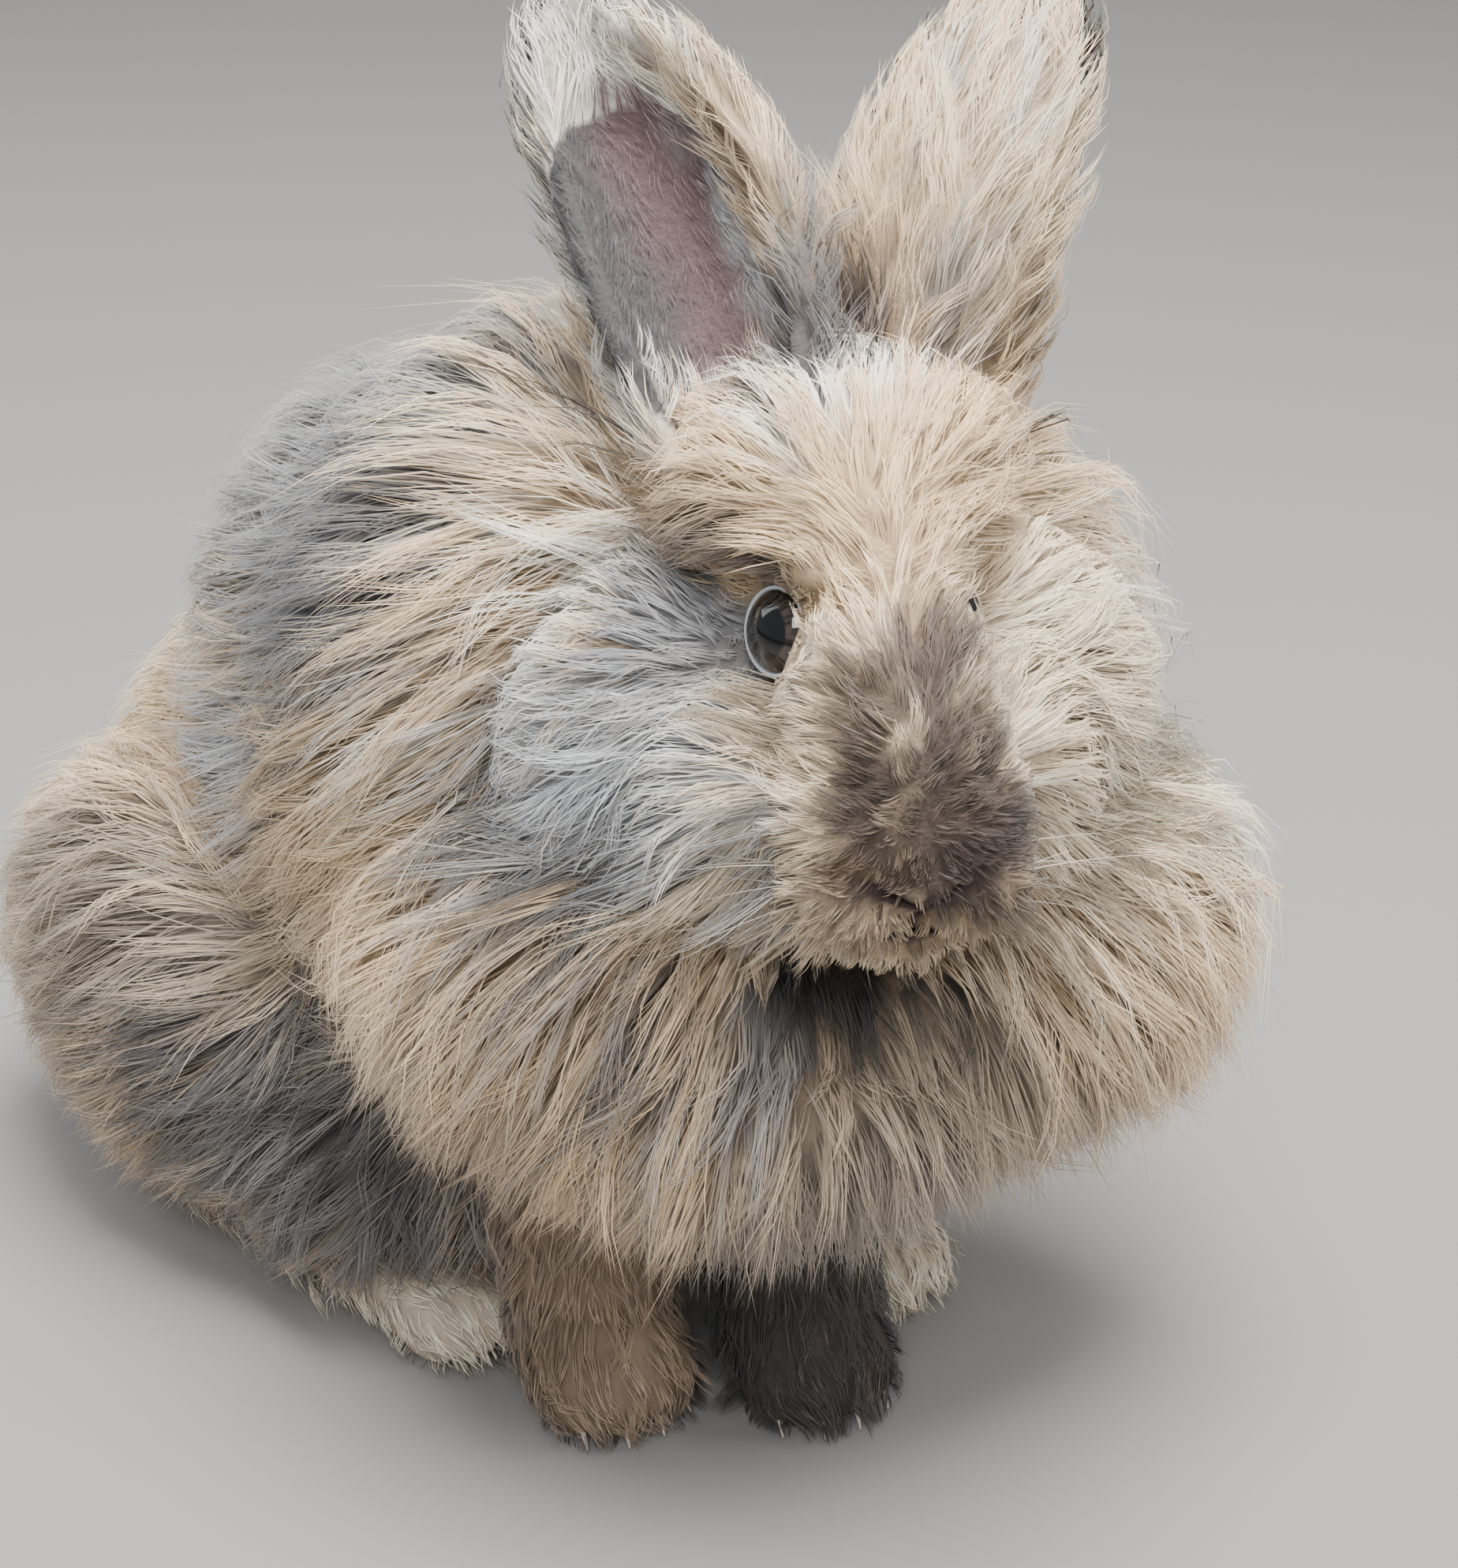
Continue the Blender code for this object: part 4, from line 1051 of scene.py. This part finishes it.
def strand_faces(rings):
    """One strand's triangles, and where each of their corners lies on its patch of the unwrap."""
    faces = [(2, 1, 0)]
    spots = [((0.0, 0.0), (0.0, 0.05), (0.05, 0.0))]
    segments = rings - 1
    for ring in range(segments - 1):
        low, high = ring * 3, ring * 3 + 3
        v0, v1 = ring / segments, (ring + 1) / segments
        for index in range(3):
            following = (index + 1) % 3
            u0, u1 = index / 3, (index + 1) / 3
            faces.append((low + index, low + following, high + following))
            faces.append((low + index, high + following, high + index))
            spots += [((u0, v0), (u1, v0), (u1, v1)), ((u0, v0), (u1, v1), (u0, v1))]
    last = (segments - 1) * 3
    v0 = (segments - 1) / segments
    for index in range(3):
        u0, u1 = index / 3, (index + 1) / 3
        faces.append((last + index, last + (index + 1) % 3, last + 3))
        spots.append(((u0, v0), (u1, v0), ((u0 + u1) / 2, 1.0)))
    return np.array(faces), np.array(spots).reshape(-1, 2)


def build_coat(ground):
    """Parts the strands into pieces and makes each one's mesh."""
    strands = grow_strands(ground)
    material = hair_material()
    for index, (name, (_, slot)) in enumerate(PIECES.items()):
        for long_hair, kind, rings in ((False, "short", SHORT_RINGS), (True, "long", LONG_RINGS)):
            rows = np.flatnonzero((strands["labels"] == index) & (strands["long"] == long_hair))
            if not len(rows):
                continue
            parts = math.ceil(len(rows) * len(strand_faces(len(rings))[0]) / PIECE_LIMIT)
            rows = rows[np.argsort(strands["spines"][rows, 0, 0], kind="stable")]
            for part, chunk in enumerate(np.array_split(rows, parts)):
                piece = strand_mesh(
                    f"{name}_{kind}_{part + 1}",
                    strands["spines"][chunk][:, rings],
                    strands["widths"][chunk],
                    strands["normals"][chunk],
                    strands["tones"][chunk][:, rings],
                    strands["maps"][chunk],
                )
                finish_piece(piece, slot, material)


# Eyes, whiskers and claws


def build_eye(name, side):
    """An eyeball, with the angle off its axis kept for its material."""
    bm = bmesh.new()
    bmesh.ops.create_uvsphere(bm, u_segments=64, v_segments=48, radius=EYE_RADIUS)
    mesh = bpy.data.meshes.new(name)
    bm.to_mesh(mesh)
    bm.free()
    points = read(mesh.vertices, "co", 3)
    angle = np.arccos(np.clip(points[:, 2] / EYE_RADIUS, -1, 1))
    edge = math.asin(LID_RADIUS / EYE_RADIUS)
    turn = np.abs(np.arctan2(points[:, 1], points[:, 0])) / math.pi
    for field, values in (("off_axis", angle / edge), ("around", turn)):
        kept = mesh.attributes.new(field, "FLOAT", "POINT")
        kept.data.foreach_set("value", values.astype(np.float32))
    mesh.transform(Matrix.Translation(eye_middle(side) + SHIFT) @ facing_along(eye_facing(side)))
    return link(bpy.data.objects.new(name, mesh))


def build_lid(side):
    """The rim of the lids, a ring on the front of the eye."""
    bm = bmesh.new()
    section = bmesh.ops.create_circle(bm, segments=12, radius=LID_THICKNESS)["verts"]
    upright = Matrix.Translation((LID_RADIUS, 0, 0)) @ Matrix.Rotation(math.radians(90), 4, "X")
    bmesh.ops.transform(bm, matrix=upright, verts=section)
    ring = bm.verts[:] + bm.edges[:]
    bmesh.ops.spin(bm, geom=ring, axis=(0, 0, 1), cent=(0, 0, 0), angle=2 * math.pi, steps=48, use_merge=True)
    bmesh.ops.remove_doubles(bm, verts=bm.verts, dist=1e-7)
    bmesh.ops.recalc_face_normals(bm, faces=bm.faces)
    middle = eye_middle(side) + SHIFT + eye_facing(side) * LID_FORWARD
    aim = facing_along(eye_facing(side))
    bmesh.ops.transform(bm, matrix=Matrix.Translation(middle) @ aim, verts=bm.verts)
    return mesh_object("lid_" + ("right" if side < 0 else "left"), bm)


# The part of the muzzle that whiskers leave and the ways they point, on the left, in the head's frame
WHISKER_BED = ((0.009, 0.016), (-0.029, -0.023), (-0.034, -0.026))
WHISKER_AIMS = ((0.7, 1.0), (0.10, 0.60), (-0.45, 0.15))
WHISKER_RADIUS = 0.00011
WHISKER_SAG = 0.12
WHISKER_STEPS = 6


def build_whiskers():
    """Long thin hairs from the muzzle, out and slightly back and down."""
    rng = np.random.default_rng(SEED + 1)
    head = head_frame()
    bm = bmesh.new()
    for side in (-1, 1):
        for _ in range(chosen().whiskers):
            root = Vector([rng.uniform(*span) for span in WHISKER_BED])
            aim = Vector([rng.uniform(*span) for span in WHISKER_AIMS])
            root.x *= side
            aim.x *= side
            root = head @ root
            aim = head.to_3x3() @ aim.normalized()
            length = chosen().whisker_length * rng.uniform(0.5, 1.0)
            across = aim.cross(Vector((0, 0, 1))).normalized()
            over = across.cross(aim)
            rings = []
            for share in (step / WHISKER_STEPS for step in range(WHISKER_STEPS)):
                sag = Vector((0, 0, -WHISKER_SAG * length * share * share))
                middle = root + aim * length * share + sag + SHIFT
                radius = WHISKER_RADIUS * (1 - 0.8 * share)
                angles = [index * math.pi * 2 / 3 for index in range(3)]
                around = [across * math.cos(angle) + over * math.sin(angle) for angle in angles]
                rings.append([bm.verts.new(middle + spoke * radius) for spoke in around])
            tip = bm.verts.new(root + aim * length + Vector((0, 0, -WHISKER_SAG * length)) + SHIFT)
            bm.faces.new(rings[0])
            for index in range(3):
                following = (index + 1) % 3
                for low, high in zip(rings, rings[1:]):
                    bm.faces.new((low[index], low[following], high[following], high[index]))
                bm.faces.new((rings[-1][index], rings[-1][following], tip))
    bmesh.ops.recalc_face_normals(bm, faces=bm.faces)
    return mesh_object("whiskers", bm)


# A clawed paw: its middle, its heading, the step between its toes, how far ahead the middle of them
# reaches, and how far the outer ones fall back
Paw = namedtuple("Paw", "middle turn step reach fall")
PAWS = (
    Paw(Vector((-0.019, -0.042, 0)), -14, 0.0070, 0.0225, 0.0016),
    Paw(Vector((0.011, -0.065, 0)), -20, 0.0070, 0.0225, 0.0016),
    Paw(Vector((-0.031, -0.008, 0)), 4, 0.0056, 0.0200, 0.0014),
    Paw(Vector((0.040, -0.052, 0)), -12, 0.0056, 0.0200, 0.0014),
)
CLAW_LENGTH = 0.0046
CLAW_RADIUS = 0.0012
CLAW_ROOT_DEPTH = 0.0050
CLAW_ROOT_HEIGHT = 0.0064
CLAW_DROP = 0.0050
CLAW_RINGS = 7


def build_claws():
    """Curved claws that end just above the floor."""
    bm = bmesh.new()
    for paw in PAWS:
        turned = math.radians(paw.turn)
        ahead = Vector((math.sin(turned), -math.cos(turned), 0))
        side = Vector((math.cos(turned), math.sin(turned), 0))
        for toe in (-1.5, -0.5, 0.5, 1.5):
            reach = paw.reach - paw.fall * toe * toe - CLAW_ROOT_DEPTH
            start = paw.middle + side * toe * paw.step + ahead * reach + Vector((0, 0, CLAW_ROOT_HEIGHT))
            before = None
            for ring in range(CLAW_RINGS):
                share = ring / (CLAW_RINGS - 1)
                centre = start + ahead * CLAW_LENGTH * share + Vector((0, 0, -CLAW_DROP * share**1.8)) + SHIFT
                circle = bmesh.ops.create_circle(
                    bm,
                    segments=8,
                    radius=CLAW_RADIUS * (1 - 0.88 * share),
                    matrix=Matrix.Translation(centre) @ facing_along(ahead),
                    cap_ends=ring in (0, CLAW_RINGS - 1),
                )["verts"]
                edges = [edge for edge in bm.edges if edge.verts[0] in circle and edge.verts[1] in circle]
                if before:
                    bmesh.ops.bridge_loops(bm, edges=before + edges)
                before = edges
    bmesh.ops.recalc_face_normals(bm, faces=bm.faces)
    return mesh_object("claws", bm)


# The skin leaves its ground here for the coat
BUILT = {}
# How dark the skin is against the hair over it
SKIN_SHADE = 0.72


class RABBIT_OT_skin(bpy.types.Operator):
    """Builds the skin with its markings"""

    bl_idname = "rabbit.skin"
    bl_label = "Skin"

    def execute(self, context):
        skin = build_skin()
        ground = Ground(skin)
        paint_points(skin.data, np.clip(ground.tones * SKIN_SHADE, 0, 1))
        BUILT["ground"] = ground
        finish_piece(skin, "body_coat", skin_material(), *FLESH)
        return {"FINISHED"}


class RABBIT_OT_coat(bpy.types.Operator):
    """Grows the coat over the skin, strand by strand"""

    bl_idname = "rabbit.coat"
    bl_label = "Coat"

    def execute(self, context):
        build_coat(BUILT["ground"])
        return {"FINISHED"}


class RABBIT_OT_eyes(bpy.types.Operator):
    """Builds the eyes and the rims of their lids"""

    bl_idname = "rabbit.eyes"
    bl_label = "Eyes"

    def execute(self, context):
        wet = eye_material()
        rim = plain_material("lid_rim", (0.60, 0.63, 0.68), 0.45)
        for name, side in (("eye_right", -1), ("eye_left", 1)):
            eye = build_eye("eyeball_" + name[4:], side)
            finish_piece(eye, "eye", wet, name)
            finish_piece(build_lid(side), "face_coat", rim)
        return {"FINISHED"}


class RABBIT_OT_whiskers(bpy.types.Operator):
    """Sets the whiskers in the muzzle"""

    bl_idname = "rabbit.whiskers"
    bl_label = "Whiskers"

    def execute(self, context):
        finish_piece(build_whiskers(), "face_coat", plain_material("whisker_horn", (0.62, 0.58, 0.52), 0.4))
        return {"FINISHED"}


class RABBIT_OT_claws(bpy.types.Operator):
    """Sets the claws in the toes"""

    bl_idname = "rabbit.claws"
    bl_label = "Claws"

    def execute(self, context):
        finish_piece(build_claws(), "leg_coat", plain_material("claw_horn", tuple(colour("claw")), 0.35))
        return {"FINISHED"}


# The photograph's focal length and long side in its own pixels, the camera's turn and pitch in
# degrees, and its place
FOCAL_PIXELS = 3500
PHOTO_LONG_SIDE = 1988
CAMERA_TURN = -42
CAMERA_PITCH = 29.5
CAMERA_PLACE = Vector((-0.2659, -0.3536, 0.3524))
LAMP_TARGET = Vector((0, -0.02, 0.12))
# Each lamp's name, place, size, power and tone
LAMPS = (
    ("window", (0.00, -0.18, 1.15), 0.60, 36, (1.0, 0.98, 0.95)),
    ("fill", (0.75, -0.95, 0.60), 0.50, 6, (1.0, 0.98, 0.96)),
    ("side", (-0.70, -0.70, 1.05), 0.50, 9, (0.98, 0.99, 1.0)),
    ("rim", (-0.30, 0.85, 0.85), 0.8, 6, (0.94, 0.97, 1.0)),
)


def build_camera():
    """A camera at the photograph's own viewing angle and distance."""
    turn, pitch = math.radians(CAMERA_TURN), math.radians(CAMERA_PITCH)
    right = Vector((math.cos(turn), math.sin(turn), 0))
    toward = Vector((math.sin(turn), -math.cos(turn), 0))
    upward = Vector((0, 0, 1))
    up = math.cos(pitch) * upward - math.sin(pitch) * toward
    back = math.sin(pitch) * upward + math.cos(pitch) * toward
    data = bpy.data.cameras.new("camera")
    data.sensor_width = 36
    data.lens = FOCAL_PIXELS / PHOTO_LONG_SIDE * data.sensor_width
    data.clip_start = 0.01
    camera = link(bpy.data.objects.new("camera", data))
    matrix = Matrix((right, up, back)).transposed().to_4x4()
    matrix.translation = CAMERA_PLACE + SHIFT
    camera.matrix_world = matrix
    bpy.context.scene.camera = camera


def build_lamp(name, place, size, power, tone):
    """A soft square lamp that looks at the rabbit."""
    data = bpy.data.lights.new(name, "AREA")
    data.shape = "SQUARE"
    data.size = size
    data.energy = power
    data.color = tone
    lamp = link(bpy.data.objects.new(name, data))
    lamp.location = place
    lamp.rotation_euler = (LAMP_TARGET - Vector(place)).to_track_quat("-Z", "Y").to_euler()


class RABBIT_OT_stage(bpy.types.Operator):
    """Sets the floor, the lamps and the camera"""

    bl_idname = "rabbit.stage"
    bl_label = "Stage"

    def execute(self, context):
        bm = bmesh.new()
        bmesh.ops.create_grid(bm, x_segments=1, y_segments=1, size=6)
        floor = mesh_object("floor", bm)
        floor.data.materials.append(plain_material("pale_floor", (0.26, 0.25, 0.24), 0.85))
        world = bpy.data.worlds.new("studio")
        world.use_nodes = True
        sky = world.node_tree.nodes["Background"]
        sky.inputs["Color"].default_value = (0.93, 0.96, 1.0, 1)
        sky.inputs["Strength"].default_value = 0.42
        bpy.context.scene.world = world
        for lamp in LAMPS:
            build_lamp(*lamp)
        build_camera()
        return {"FINISHED"}


OPERATORS = (
    RABBIT_OT_skin, RABBIT_OT_coat, RABBIT_OT_eyes, RABBIT_OT_whiskers, RABBIT_OT_claws, RABBIT_OT_stage,
)


class RABBIT_PT_panel(bpy.types.Panel):
    bl_label = "Lionhead Rabbit"
    bl_space_type = "VIEW_3D"
    bl_region_type = "UI"
    bl_category = "Rabbit"

    def draw(self, context):
        for group in (context.scene.rabbit_sizes, context.scene.rabbit_colours):
            for name in group.__annotations__:
                self.layout.prop(group, name)
        for operator in OPERATORS:
            self.layout.operator(operator.bl_idname)


CLASSES = (RabbitSizes, RabbitColours, *OPERATORS, RABBIT_PT_panel)


def register():
    for item in CLASSES:
        bpy.utils.register_class(item)
    bpy.types.Scene.rabbit_sizes = PointerProperty(type=RabbitSizes)
    bpy.types.Scene.rabbit_colours = PointerProperty(type=RabbitColours)


def unregister():
    del bpy.types.Scene.rabbit_sizes
    del bpy.types.Scene.rabbit_colours
    for item in reversed(CLASSES):
        bpy.utils.unregister_class(item)


def main():
    register()
    bpy.ops.rabbit.skin()
    bpy.ops.rabbit.coat()
    bpy.ops.rabbit.eyes()
    bpy.ops.rabbit.whiskers()
    bpy.ops.rabbit.claws()
    bpy.ops.rabbit.stage()


if __name__ == "__main__":
    main()
